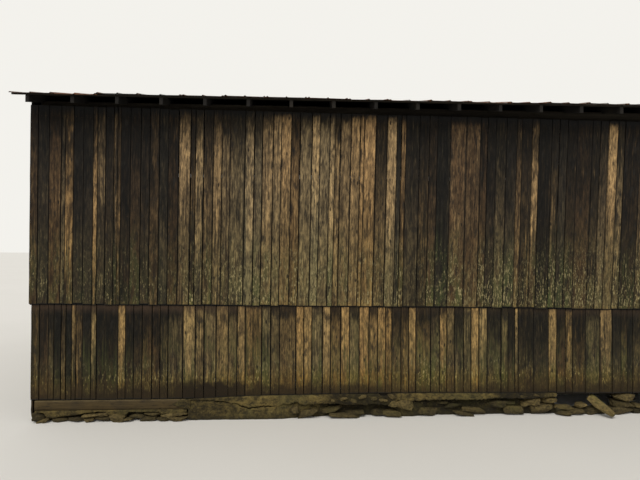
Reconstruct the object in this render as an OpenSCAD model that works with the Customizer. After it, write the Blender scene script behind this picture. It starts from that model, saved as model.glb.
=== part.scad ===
// Weathered timber barn, in millimetres. The long front wall faces -Y, +Z is up,
// and the origin is at ground level under the middle of the building.

/* [Plan] */
// Distance between rafters, centre to centre
rafter_spacing = 615; // [500:5:700]
// Distance between the posts of a long wall, centre to centre
post_spacing = 2975; // [2600:25:3600]
// Number of post bays along a long wall
long_bays = 4; // [4:1:6]
// Width between the outer faces of the two long wall frames
frame_w = 9325; // [7000:25:11000]
// Number of post bays across a gable wall
gable_bays = 3; // [2:1:4]

/* [Masonry] */
// Height of the foundation under the sill beams
foundation_h = 160; // [120:5:300]
// How far the masonry stands out past the wall frame
masonry_proud = 65; // [45:5:90]
// Depth of the hollow where the parging has broken off low down
broken_depth = 35; // [10:5:50]
// Height of the lower edge of the parging
parging_z = 190; // [140:5:220]
// Height of the parging's upper edge over the sill beams, at its crest
parging_rise = 56; // [30:2:80]
// Length over which the parging climbs, from the end of the front sill beam
parging_ramp = 930; // [600:10:1400]
// Length of the crest of the parging
parging_crest = 2200; // [1500:10:2600]
// Length of the pier of flat stones
pier_length = 360; // [300:10:500]
// Length of the gap in the masonry, left of the pier
left_gap = 880; // [800:10:1200]
// Length of the gap in the masonry, right of the pier
right_gap = 420; // [200:10:600]
// Height of the fallen masonry that is left in the gaps
rubble_h = 150; // [110:5:180]
// Thickness of the long stone that leans out of the left gap
leaning_d = 130; // [90:5:150]
// Height of the mortar that beds the sill beam left on the front wall
bedding_h = 60; // [40:5:90]

/* [Frame] */
// Width of a post, which is also the width of the top plates
post_w = 150; // [120:5:200]
// Height of a sill beam
sill_h = 150; // [120:5:200]
// How far the sill beams stand out past the wall frame
sill_proud = 40; // [30:5:60]
// Length of the sill beam that is left on the front wall
front_sill_l = 2260; // [1500:10:2600]
// How far that beam and its stones have worn back from the left corner
corner_loss = 40; // [0:5:50]
// Thickness of the rails that the lower boards are nailed to
nailer_t = 50; // [40:5:70]
// Height of those rails
nailer_h = 100; // [80:5:140]
// Height of the middle rail above ground
mid_rail_z = 2960; // [2600:10:3400]
// Height of the top of the top plates above ground
plate_top = 4730; // [4400:10:5200]
// Height of a top plate
plate_h = 150; // [120:5:200]
// Height of a tie beam
tie_h = 200; // [150:10:250]
// Depth of the short posts that stand on the tie beams, across the building
roof_post_d = 100; // [80:5:120]

/* [Roof] */
// Slope of the roof, as its rise over its run
roof_pitch = 0.25; // [0.15:0.01:0.4]
// Width of a rafter
rafter_t = 50; // [40:5:70]
// Depth of a rafter, square to its slope
rafter_d = 100; // [90:5:160]
// Length of the level seat that a rafter has on its plate
seat_length = 90; // [60:5:100]
// How far the rafters reach out past the boards of the wall
eave_reach = 370; // [250:10:500]
// Thickness of the ridge board
ridge_t = 50; // [30:5:70]
// Height of the ridge board
ridge_h = 150; // [130:5:250]
// Width of a purlin
purlin_w = 100; // [80:5:150]
// Depth of a purlin
purlin_d = 150; // [100:5:200]
// Thickness of a roof batten
batten_t = 25; // [18:1:38]
// Width of a roof batten
batten_w = 100; // [75:5:150]
// Number of battens on each slope
batten_count = 9; // [6:1:12]
// How far the roof reaches out past the gable frames
verge_reach = 165; // [120:5:350]
// Number of metal sheets along the roof
sheet_count = 21; // [16:1:26]
// Thickness of the roofing metal
sheet_t = 3; // [2:0.5:5]
// Height of a crimped rib
rib_h = 16; // [10:1:25]
// Width of a crimped rib
rib_w = 32; // [24:2:44]
// Distance between the two ribs at a joint of sheets
rib_pair = 44; // [44:2:60]
// How far the sheets drip past the rafter ends
drip = 30; // [10:5:60]
// Length of each wing of the ridge cap
cap_wing = 170; // [120:10:250]

/* [Boards] */
// Thickness of a wall board
board_t = 25; // [20:1:32]
// Mean width of a wall board
board_w = 150; // [120:5:220]
// Width of the open joint between two boards
joint_w = 6; // [3:1:10]
// Depth of the open joint between two boards
joint_d = 12; // [6:1:16]
// Height of the lap between the two courses, at the left end of the front wall
lap_z = 1712; // [1500:4:2100]
// Length of board that is covered at the lap
overlap = 80; // [60:5:100]
// How far the upper boards of the front wall have settled at their right end
settling = 105; // [0:5:140]
// Height of the lower ends of the boards on the walls that are not underpinned
board_foot = 322; // [316:1:330]
// Gap between the top of the boards and the top of the plates
top_gap = 85; // [60:5:120]

/* [Hidden] */
// The building is drawn from these sizes, worked out from those above.
frame_l = long_bays * post_spacing + 2 * nailer_t + post_w;
half_l = frame_l / 2;
half_w = frame_w / 2;
deep_nailer_t = nailer_t + board_t;
sill_top = foundation_h + sill_h;
inner = nailer_t + post_w;
post_top = plate_top - plate_h;
tie_bottom = post_top - tie_h;
lap_rail_z = lap_z + overlap - nailer_h;
top_rail_z = plate_top - top_gap - settling - 1.05 * nailer_h;
slope = atan(roof_pitch);
tail = half_w + 2 * board_t + eave_reach;
rafter_v = rafter_d / cos(slope);
post_pitch_y = (frame_w - 2 * nailer_t - post_w) / gable_bays;
slope_l = (tail - ridge_t / 2) / cos(slope);
purlin_run = half_w / 2;
queen_run = purlin_run - (rafter_d + purlin_d) * sin(slope);
ridge_top = rafter_top(ridge_t / 2);
// Stones lie this far from what they only rest against.
seat_gap = 0.3;

// The third front post stands on the pier of flat stones.
pier_post = long_bays - 1;
pier_right = post_x(pier_post) + half_l + post_w / 2 + 10;
pier_left = pier_right - pier_length;
masonry_end = pier_left - left_gap;
masonry_restart = pier_right + right_gap;

// Clearance between the masonry and the board ends above it.
foot_gap = 2;

// The line of the lower board ends along the front wall, from the left corner.
foot_line = [
    [0, sill_top + 0.2 * parging_rise],
    [front_sill_l, sill_top + foot_gap],
    [front_sill_l + parging_ramp, sill_top + 0.7 * parging_rise],
    [front_sill_l + parging_ramp + parging_crest, sill_top + parging_rise],
    [masonry_end, sill_top + 0.6 * parging_rise],
    [masonry_end + left_gap, sill_top + 0.3 * parging_rise],
    [frame_l, sill_top + 0.3 * parging_rise],
];

function post_x(i) = -half_l + nailer_t + post_w / 2 + i * post_spacing;
function post_y(j) = -half_w + nailer_t + post_w / 2 + j * post_pitch_y;

// Heights of the rafters at a distance from the centre line of the building.
function rafter_bottom(run) = plate_top + (half_w - nailer_t - seat_length - run) * roof_pitch;
function rafter_top(run) = rafter_bottom(run) + rafter_v;

function reversed(v) = [for (i = [len(v) - 1:-1:0]) v[i]];
function total(v, n) = n < 1 ? 0 : v[n - 1] + total(v, n - 1);

// Edges of boards of mixed widths that fill a length.
function board_edges(length, seed) =
    let (
        count = round(length / board_w),
        shares = rands(0.7, 1.3, count, seed),
        whole = total(shares, count)
    )
    [for (i = [0:count]) length * total(shares, i) / whole];

// The two sides of the building are drawn by one module each.
module on_back() { mirror([0, 1, 0]) children(); }
module on_right() { mirror([1, 0, 0]) children(); }

// Places a wall drawn from x = 0 along its outer face, which looks along -Y.
module front_side(extra) { translate([-half_l - extra, -half_w, 0]) children(); }
module back_side(extra) { rotate([0, 0, 180]) front_side(extra) children(); }
module left_side(extra) {
    rotate([0, 0, -90]) translate([-half_w - extra, -half_l, 0]) children();
}
module right_side(extra) { rotate([0, 0, 180]) left_side(extra) children(); }

// Lays its children on the plane of the rafter tops of the front slope: x along the
// building, y up the slope from the rafter ends and z square to the slope.
module on_slope() { translate([0, -tail, rafter_top(tail)]) rotate([slope, 0, 0]) children(); }

// Rafters are set out from the left end, with one more at the right end.
function rafter_places() =
    let (
        first = nailer_t + rafter_t / 2,
        last = frame_l - first,
        count = floor((last - first - 2 * rafter_t) / rafter_spacing)
    )
    concat([for (i = [0:count]) first + i * rafter_spacing - half_l], [last - half_l]);

// Extrudes a shape drawn as x and z along y, from y = 0 to y = -depth.
module upright(depth) { rotate([90, 0, 0]) linear_extrude(depth) children(); }

// Extrudes a shape drawn as y and z along x, from x = 0.
module across(width) { rotate([90, 0, 90]) linear_extrude(width) children(); }

// Boards of one course, whose back lies at y = 0 and whose outline is x and z.
module course(length, seed, outline) {
    edges = board_edges(length, seed);
    count = len(edges) - 1;
    dressed = rands(0, 3, count, seed + 1);
    floor_y = -(board_t - joint_d);
    face = [
        for (i = [0:count - 1])
            let (
                a = edges[i] + (i == 0 ? 0 : joint_w / 2),
                b = edges[i + 1] - (i == count - 1 ? 0 : joint_w / 2),
                y = -(board_t - dressed[i])
            )
            each [[a, i == 0 ? y : floor_y], [a, y], [b, y], [b, i == count - 1 ? y : floor_y]]
    ];
    // The end boards have no joint, so their doubled corner is left out.
    clean = [for (i = [1:len(face) - 2]) face[i]];
    low = min([for (p = outline) p[1]]) - 1;
    high = max([for (p = outline) p[1]]) + 1;
    intersection() {
        translate([0, 0, low]) linear_extrude(high - low)
            polygon(concat([[0, 0]], clean, [[length, 0]]));
        translate([0, 1, 0]) upright(board_t + 2) polygon(outline);
    }
}

function lower_outline(length, extra) = concat(
    [for (p = foot_line) [p[0] <= 0 ? 0 : p[0] >= frame_l ? length : p[0] + extra, p[1]]],
    [[length, lap_z + overlap], [0, lap_z + overlap]]
);
function plain_outline(length, low, high) = [[0, low], [length, low], [length, high], [0, high]];
function gable_outline(length, low) = [
    [0, low],
    [length, low],
    [length, rafter_top(length / 2)],
    [length / 2, rafter_top(0)],
    [0, rafter_top(length / 2)],
];

lower_l = frame_l + 2 * board_t;
upper_l = frame_l + 4 * board_t;
lower_w = frame_w;
upper_w = frame_w + 2 * board_t;

module front_lower_siding() {
    color("#5d4f39") front_side(board_t) course(lower_l, 11, lower_outline(lower_l, board_t));
}
module back_lower_siding() {
    color("#5d4f39") back_side(board_t)
        course(lower_l, 23, plain_outline(lower_l, board_foot, lap_z + overlap));
}
module front_upper_siding() {
    top = plate_top - top_gap;
    color("#4f4534") front_side(2 * board_t) translate([0, -board_t, 0]) course(upper_l, 37, [
        [0, lap_z], [upper_l, lap_z - settling], [upper_l, top - settling], [0, top]
    ]);
}
module back_upper_siding() {
    color("#4f4534") back_side(2 * board_t) translate([0, -board_t, 0])
        course(upper_l, 41, plain_outline(upper_l, lap_z, plate_top - top_gap));
}
module left_lower_siding() {
    color("#5d4f39") left_side(0)
        course(lower_w, 53, plain_outline(lower_w, board_foot, lap_z + overlap));
}
module right_lower_siding() {
    color("#5d4f39") right_side(0)
        course(lower_w, 59, plain_outline(lower_w, board_foot, lap_z + overlap));
}
module left_upper_siding() {
    color("#4f4534") left_side(board_t) translate([0, -board_t, 0])
        course(upper_w, 61, gable_outline(upper_w, lap_z));
}
module right_upper_siding() {
    color("#4f4534") right_side(board_t) translate([0, -board_t, 0])
        course(upper_w, 67, gable_outline(upper_w, lap_z - settling));
}

// A stretch of underpinned front wall: a core that carries the posts, and a lip of
// parging in front of the frame that rises to the board ends.
module underpinning(from, to) {
    marks = [for (p = foot_line) if (p[0] > from && p[0] < to) p[0]];
    stops = concat([from], marks, [to]);
    lip = [for (x = stops) [x, lookup(x, foot_line) - foot_gap]];
    color("#6f6250") front_side(0) {
        difference() {
            union() {
                translate([from, -masonry_proud, 0])
                    cube([to - from, masonry_proud + inner, sill_top]);
                upright(masonry_proud)
                    polygon(concat([[from, sill_top - 1]], lip, [[to, sill_top - 1]]));
            }
            translate([from - 1, -masonry_proud - 1, -1])
                cube([to - from + 2, broken_depth + 1, parging_z + 1]);
        }
    }
}
module front_foundation() { underpinning(front_sill_l, masonry_end); }
module front_right_foundation() { underpinning(masonry_restart, frame_l + masonry_proud); }

// What is left of the masonry in the gaps, drawn as its worn top line.
module rubble(from, length) {
    tops = [0.9, 0.62, 1, 0.5, 0.5, 0.6, 0.95];
    step = length / (len(tops) - 1);
    translate([from, inner, 0]) upright(inner + masonry_proud - broken_depth) polygon(concat(
        [[0, 0]],
        [for (i = [0:len(tops) - 1]) [i * step, rubble_h * tops[i]]],
        [[length, 0]]
    ));
}
module front_rubble() {
    color("#5c5244") front_side(0) {
        rubble(masonry_end, left_gap);
        rubble(pier_right, right_gap);
    }
}

// Flat fieldstones laid without mortar, one on the other.
module flat_stone(x, y, z, length, depth, height, corner) {
    translate([x, y, z]) linear_extrude(height) polygon([
        [corner, 0], [length - 0.6 * corner, 0], [length, 0.8 * corner],
        [length, depth - corner], [length - corner, depth], [0.7 * corner, depth],
        [0, depth - 0.7 * corner], [0, corner]
    ]);
}
module front_stone_pier() {
    heights = [for (share = [0.37, 0.3, 0.33]) share * sill_top];
    // How far each stone lies in from the left end, the face and the right end of the
    // lowest one, as shares of how far the masonry stands out.
    insets = [[0, 0, 0], [0.4, 0.28, 0.22], [0, 0.09, 0]];
    chipped = masonry_proud / 2;
    color("#8a7a5e") front_side(0) for (i = [0:2])
        let (inset = insets[i] * masonry_proud, face = inset[1] - masonry_proud)
        flat_stone(pier_left + inset[0], face, total(heights, i),
            pier_length - inset[0] - inset[2], inner - face, heights[i], chipped);
}

// An eight-sided section of a worn stone, one unit wide, thick and deep.
module worn_section() {
    corner = 22.5;
    translate([0, 1, 0]) rotate([90, 0, 0]) rotate(corner)
        cylinder(d = 1 / cos(corner), h = 1, $fn = 8);
}

// A long fieldstone that has slid out of the gap. Its foot is on the ground and its
// head is caught under the lowest rail.
module leaning_stone() {
    climb = sill_top - seat_gap;
    stone_l = 1.4 * climb;
    slice = 8;
    // Place along the stone, width and thickness of its sections, as shares.
    sections = [[0, 0.74, 0.72], [0.35, 1, 0.92], [0.75, 0.98, 1], [1, 0.82, 0.86]];
    foot_r = sections[0][2] * leaning_d / 2;
    head_r = sections[3][2] * leaning_d / 2;
    lean = asin(climb / norm([stone_l, foot_r + head_r])) - atan2(foot_r + head_r, stone_l);
    turn = 38;
    color("#a39a63") front_side(0)
        translate([masonry_end + 0.64 * left_gap, nailer_t / 2, climb])
            rotate([0, 0, turn]) rotate([lean, 0, 0]) translate([0, -stone_l, -head_r])
                hull() for (part = sections)
                    translate([0, part[0] * (stone_l - slice), 0])
                        scale([part[1] * leaning_d, slice, part[2] * leaning_d])
                            worn_section();
}

module masonry_box(from, to) {
    translate([from[0], from[1], 0]) cube([to[0] - from[0], to[1] - from[1], foundation_h]);
}
module front_left_stones() {
    color("#76694f") difference() {
        masonry_box([-half_l + corner_loss, -half_w - masonry_proud],
            [-half_l + front_sill_l, -half_w + inner]);
        translate([-half_l, -half_w - masonry_proud - 1, -1])
            cube([front_sill_l + 1, broken_depth + 1, foundation_h - bedding_h + 1]);
    }
}
module back_foundation() {
    color("#6f6250") masonry_box([-half_l - masonry_proud, half_w - inner],
        [half_l + masonry_proud, half_w + masonry_proud]);
}
module left_foundation() {
    color("#6f6250") masonry_box([-half_l - masonry_proud, -half_w + inner],
        [-half_l + inner, half_w - inner]);
}
module right_foundation() { on_right() left_foundation(); }

module sill_box(from, to) {
    translate([from[0], from[1], foundation_h]) cube([to[0] - from[0], to[1] - from[1], sill_h]);
}
module front_sill() {
    color("#6b5536") sill_box([-half_l + corner_loss, -half_w - sill_proud],
        [-half_l + front_sill_l, -half_w + inner]);
}
module back_sill() {
    color("#6b5536") sill_box([-half_l - sill_proud, half_w - inner],
        [half_l + sill_proud, half_w + sill_proud]);
}
module left_sill() {
    color("#6b5536") sill_box([-half_l - sill_proud, -half_w + inner],
        [-half_l + inner, half_w - inner]);
}
module right_sill() { on_right() left_sill(); }

module post(x, y, top) {
    translate([x - post_w / 2, y - post_w / 2, sill_top]) cube([post_w, post_w, top - sill_top]);
}
module front_posts() {
    color("#5a4a35") for (i = [0:long_bays]) post(post_x(i), post_y(0), post_top);
}
module back_posts() { on_back() front_posts(); }
module left_gable_posts() {
    color("#5a4a35") for (j = [1:gable_bays - 1]) post(post_x(0), post_y(j), tie_bottom);
}
module right_gable_posts() { on_right() left_gable_posts(); }

// Rails along a wall. The upper ones are thicker by a board, because the upper boards
// hang outside the lower ones.
module rail(length, z, thickness) {
    translate([0, nailer_t - thickness, z]) cube([length, thickness, nailer_h]);
}
module front_nailers() {
    color("#56452f") front_side(0) {
        rail(frame_l, sill_top, nailer_t);
        rail(frame_l, lap_rail_z, nailer_t);
        translate([-board_t, 0, 0]) {
            rail(frame_l + 2 * board_t, mid_rail_z, deep_nailer_t);
            rail(frame_l + 2 * board_t, top_rail_z, deep_nailer_t);
        }
    }
}
module back_nailers() { on_back() front_nailers(); }
module left_nailers() {
    clear_w = frame_w - 2 * nailer_t;
    rake = half_w - nailer_t;
    color("#56452f") left_side(-nailer_t) {
        rail(clear_w, sill_top, nailer_t);
        rail(clear_w, lap_rail_z, nailer_t);
        rail(clear_w, mid_rail_z, deep_nailer_t);
        rail(clear_w, top_rail_z, deep_nailer_t);
    }
    color("#56452f") translate([-half_l - board_t, 0, 0]) across(deep_nailer_t) polygon([
        [-rake, rafter_bottom(rake)], [0, rafter_bottom(0)], [rake, rafter_bottom(rake)],
        [rake, rafter_top(rake)], [0, rafter_top(0)], [-rake, rafter_top(rake)]
    ]);
}
module right_nailers() { on_right() left_nailers(); }

module front_plate() {
    color("#4c3d2a") translate([-half_l + nailer_t, -half_w + nailer_t, post_top])
        cube([frame_l - 2 * nailer_t, post_w, plate_h]);
}
module back_plate() { on_back() front_plate(); }
module tie_beams() {
    color("#5a4a35") for (i = [0:long_bays])
        translate([post_x(i) - post_w / 2, -half_w + inner, tie_bottom])
            cube([post_w, frame_w - 2 * inner, tie_h]);
}
module king_posts() {
    color("#5a4a35") for (i = [0:long_bays])
        translate([post_x(i) - post_w / 2, -roof_post_d / 2, post_top])
            cube([post_w, roof_post_d, ridge_top - ridge_h - post_top]);
}
module queen_posts() {
    under = (rafter_d + purlin_d) / cos(slope);
    outer = queen_run + roof_post_d / 2;
    near = queen_run - roof_post_d / 2;
    color("#5a4a35") for (i = [0:long_bays]) for (side = [-1, 1])
        translate([post_x(i) - post_w / 2, 0, 0]) across(post_w) polygon([
            [side * near, post_top], [side * outer, post_top],
            [side * outer, rafter_top(outer) - under], [side * near, rafter_top(near) - under]
        ]);
}
module ridge_board() {
    color("#5a4a35") translate([-half_l + nailer_t, -ridge_t / 2, ridge_top - ridge_h])
        cube([frame_l - 2 * nailer_t, ridge_t, ridge_h]);
}
module front_purlin() {
    color("#5a4a35") on_slope()
        translate([-half_l + nailer_t, (tail - purlin_run) / cos(slope) - purlin_w / 2,
                -rafter_d - purlin_d])
            cube([frame_l - 2 * nailer_t, purlin_w, purlin_d]);
}
module back_purlin() { on_back() front_purlin(); }

// A rafter with plumb cuts at both ends and a level seat on the plate.
module rafter(x) {
    start = ridge_t / 2;
    heel = half_w - nailer_t;
    translate([x - rafter_t / 2, 0, 0]) across(rafter_t) polygon([
        [-start, rafter_bottom(start)], [-heel + seat_length, plate_top], [-heel, plate_top],
        [-heel, rafter_bottom(heel)], [-tail, rafter_bottom(tail)],
        [-tail, rafter_top(tail)], [-start, rafter_top(start)]
    ]);
}
module front_rafters() {
    color("#66553c") for (x = rafter_places()) rafter(x);
}
module back_rafters() { on_back() front_rafters(); }

module front_battens() {
    batten_l = frame_l + 2 * verge_reach - 2 * batten_t;
    step = (slope_l - batten_w) / (batten_count - 1);
    color("#5b4c38") on_slope() for (i = [0:batten_count - 1])
        translate([-batten_l / 2, i * step, 0]) cube([batten_l, batten_w, batten_t]);
}
module back_battens() { on_back() front_battens(); }

// Crimped sheet: a pair of ribs at each joint and one rib in the middle of each sheet.
module front_roof_sheets() {
    roof_l = frame_l + 2 * verge_reach;
    cover = roof_l / sheet_count;
    sheet_end = slope_l - sheet_t;
    ribs = [
        for (i = [0:sheet_count]) each concat(
            [for (side = [-1, 1])
                let (x = i * cover + side * rib_pair / 2)
                if (x > rib_w / 2 && x < roof_l - rib_w / 2) x],
            i < sheet_count ? [(i + 0.5) * cover] : []
        )
    ];
    line = concat(
        [[0, 0]],
        [for (x = ribs) each [[x - rib_w / 2, 0], [x, rib_h], [x + rib_w / 2, 0]]],
        [[roof_l, 0]]
    );
    color("#8f8a80") on_slope() translate([-roof_l / 2, sheet_end, batten_t])
        upright(sheet_end + drip)
            polygon(concat(line, reversed([for (p = line) [p[0], p[1] + sheet_t]])));
}
module back_roof_sheets() { on_back() front_roof_sheets(); }

module ridge_cap() {
    cap_l = frame_l + 2 * verge_reach;
    wing = cap_wing * cos(slope);
    lift = (batten_t + rib_h + sheet_t) / cos(slope);
    skin = sheet_t / cos(slope);
    color("#8f8a80") translate([-cap_l / 2, 0, 0]) across(cap_l) polygon([
        [-wing, rafter_top(wing) + lift], [0, rafter_top(0) + lift],
        [wing, rafter_top(wing) + lift], [wing, rafter_top(wing) + lift + skin],
        [0, rafter_top(0) + lift + skin], [-wing, rafter_top(wing) + lift + skin]
    ]);
}

front_left_stones();
front_foundation();
front_rubble();
front_stone_pier();
leaning_stone();
front_right_foundation();
back_foundation();
left_foundation();
right_foundation();
front_sill();
back_sill();
left_sill();
right_sill();
front_posts();
back_posts();
left_gable_posts();
right_gable_posts();
front_nailers();
back_nailers();
left_nailers();
right_nailers();
front_plate();
back_plate();
tie_beams();
king_posts();
queen_posts();
ridge_board();
front_purlin();
back_purlin();
front_rafters();
back_rafters();
front_battens();
back_battens();
front_roof_sheets();
back_roof_sheets();
ridge_cap();
front_lower_siding();
front_upper_siding();
back_lower_siding();
back_upper_siding();
left_lower_siding();
left_upper_siding();
right_lower_siding();
right_upper_siding();
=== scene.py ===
import math
import random
import bpy
import numpy as np
from mathutils import Matrix, Vector, noise


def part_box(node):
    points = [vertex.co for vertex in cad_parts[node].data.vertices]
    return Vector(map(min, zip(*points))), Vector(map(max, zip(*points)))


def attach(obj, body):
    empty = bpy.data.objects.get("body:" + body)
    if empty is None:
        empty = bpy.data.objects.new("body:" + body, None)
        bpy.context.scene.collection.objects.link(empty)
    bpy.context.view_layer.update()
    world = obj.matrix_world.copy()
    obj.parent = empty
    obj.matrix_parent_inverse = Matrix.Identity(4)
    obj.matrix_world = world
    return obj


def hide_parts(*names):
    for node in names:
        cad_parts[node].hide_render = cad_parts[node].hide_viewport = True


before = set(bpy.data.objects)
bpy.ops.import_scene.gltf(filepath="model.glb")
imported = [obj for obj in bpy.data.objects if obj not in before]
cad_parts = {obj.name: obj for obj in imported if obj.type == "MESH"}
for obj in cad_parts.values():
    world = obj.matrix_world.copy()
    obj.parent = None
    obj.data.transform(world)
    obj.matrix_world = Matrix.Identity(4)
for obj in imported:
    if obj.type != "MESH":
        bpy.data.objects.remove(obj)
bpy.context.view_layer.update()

# Places that the frame gives, in metres

lower_lo, lower_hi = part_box("front_lower_siding")
upper_lo, upper_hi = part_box("front_upper_siding")
sill_lo, sill_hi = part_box("front_sill")
pier_lo, pier_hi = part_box("front_stone_pier")
cap_lo, cap_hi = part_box("ridge_cap")

BOARD = 0.025   # thickness of a board
RAIL = 0.05   # depth of the rails between the posts and the boards
INNER = 0.2   # how far the footing reaches in from the frame's face
ROOF_PITCH = 0.25
FRAME_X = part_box("front_posts")[1][0] + RAIL
FRAME_Y = -lower_hi[1]
LEFT = lower_lo[0]
FRONT_LENGTH = lower_hi[0] - LEFT
DEEP_LENGTH = 2 * FRAME_Y
UPPER_LENGTH = upper_hi[0] - upper_lo[0]
UPPER_DEEP = DEEP_LENGTH + 2 * BOARD
LAP = upper_lo[2]
LAP_TOP = lower_hi[2]
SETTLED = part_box("back_upper_siding")[0][2] - LAP   # how far the front's lap line falls to the right
LEFT_LAP = LAP + SETTLED
FRONT_TOP = upper_hi[2]
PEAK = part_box("left_upper_siding")[1][2]
PLAIN_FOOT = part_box("back_lower_siding")[0][2]
SILL_BOTTOM, SILL_TOP = sill_lo[2], sill_hi[2]
PROUD = -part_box("back_foundation")[0][0] - FRAME_X   # how far the footing stands out of the frame

# Places along the front, from its left-hand end
SILL_START, SILL_END = sill_lo[0] - LEFT, sill_hi[0] - LEFT
PARGING_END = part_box("front_foundation")[1][0] - LEFT
PIER_START, PIER_END = pier_lo[0] - LEFT, pier_hi[0] - LEFT
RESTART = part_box("front_right_foundation")[0][0] - LEFT


def blend(a, b, f):
    return a + (b - a) * f


def smooth(a, b, x):
    """0 at a, 1 at b, and a soft curve between them."""
    t = min(1.0, max(0.0, (x - a) / (b - a)))
    return t * t * (3 - 2 * t)


def until(a, b, x):
    """1 up to a, and 0 from b."""
    return 1 - smooth(a, b, x)


def between(a, b, c, d, x):
    """1 from b to c, and 0 before a and after d."""
    return smooth(a, b, x) * until(c, d, x)


def follow(points, x):
    """Value at x of a line through (place, value) points."""
    if x <= points[0][0]:
        return points[0][1]
    for (x0, y0), (x1, y1) in zip(points, points[1:]):
        if x <= x1:
            return y0 + (y1 - y0) * (x - x0) / (x1 - x0)
    return points[-1][1]


def level(z):
    """A line along a wall that stays at one height."""
    return lambda s: z


def line(points):
    """A line along a wall through (place, value) points."""
    return lambda s: follow(points, s)


# Walls, each a map from along, out and up to the frame's x, y and z

def wall(x, y, along, out):
    """The map of a wall that starts at x and y."""
    def place(s, d, z):
        return (x + along[0] * s + out[0] * d, y + along[1] * s + out[1] * d, z)
    return place


on_front = wall(LEFT, -FRAME_Y, (1, 0), (0, -1))
on_back = wall(-LEFT, FRAME_Y, (-1, 0), (0, 1))
on_left = wall(-FRAME_X, FRAME_Y, (0, -1), (-1, 0))
on_right = wall(FRAME_X, -FRAME_Y, (0, 1), (1, 0))

# Upper courses start a board's thickness before the lower ones
over_front = wall(upper_lo[0], -FRAME_Y, (1, 0), (0, -1))
over_back = wall(-upper_lo[0], FRAME_Y, (-1, 0), (0, 1))
over_left = wall(-FRAME_X, FRAME_Y + BOARD, (0, -1), (-1, 0))
over_right = wall(FRAME_X, -FRAME_Y - BOARD, (0, 1), (1, 0))


# Meshes that collect their points, faces and vertex attributes

class Pile:
    def __init__(self, *names):
        self.points = []
        self.faces = []
        self.data = {n: [] for n in names}

    def add(self, points, faces, **values):
        start = len(self.points)
        self.points.extend(points)
        self.faces.extend([tuple(start + i for i in f) for f in faces])
        for name, column in self.data.items():
            value = values[name]
            column.extend(value if len(value) == len(points) else [value] * len(points))

    def build(self, name, material, nodes=(), smooth_faces=False):
        mesh = bpy.data.meshes.new(name)
        mesh.from_pydata(self.points, [], self.faces)
        for key, column in self.data.items():
            layer = mesh.attributes.new(key, "FLOAT_VECTOR", "POINT")
            layer.data.foreach_set("vector", np.array(column, dtype=np.float32).ravel())
        mesh.validate()
        mesh.update()
        if smooth_faces:
            mesh.shade_smooth()
        piece = bpy.data.objects.new(name, mesh)
        bpy.context.scene.collection.objects.link(piece)
        mesh.materials.append(material)
        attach(piece, "root")
        if nodes:
            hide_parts(*nodes)
        return piece


def tube_faces(n, count, inward=False):
    """Faces of a closed tube of count steps, n points to a ring.

    inward is for rings that turn the other way.
    """
    faces = []
    for i in range(count):
        for k in range(n):
            a, b = i * n + k, i * n + (k + 1) % n
            faces.append((a, a + n, b + n, b) if inward else (a, b, b + n, a + n))
    start, end = tuple(range(n)), tuple(range(count * n, (count + 1) * n))
    return faces + ([start, end[::-1]] if inward else [start[::-1], end])


def turned(faces):
    """Faces seen from their other side."""
    return [tuple(reversed(f)) for f in faces]


# Node graphs

class Value:
    """A number or colour in a node graph. Arithmetic on it adds nodes."""

    def __init__(self, graph, socket):
        self.graph = graph
        self.socket = socket

    def __add__(self, other):
        return self.graph.math("ADD", self, other)

    def __sub__(self, other):
        return self.graph.math("SUBTRACT", self, other)

    def __rsub__(self, other):
        return self.graph.math("SUBTRACT", other, self)

    def __mul__(self, other):
        return self.graph.math("MULTIPLY", self, other)

    def __truediv__(self, other):
        return self.graph.math("DIVIDE", self, other)

    def __abs__(self):
        return self.graph.math("ABSOLUTE", self)

    __radd__ = __add__
    __rmul__ = __mul__

    def step(self, low, high, start=0.0, end=1.0):
        """Goes softly from start to end while the value goes from low to high."""
        made = self.graph.node("ShaderNodeMapRange", interpolation_type="SMOOTHSTEP")
        ends = {"Value": self, "From Min": low, "From Max": high, "To Min": start, "To Max": end}
        for key, value in ends.items():
            self.graph.join(value, made.inputs[key])
        return Value(self.graph, made.outputs["Result"])


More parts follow.
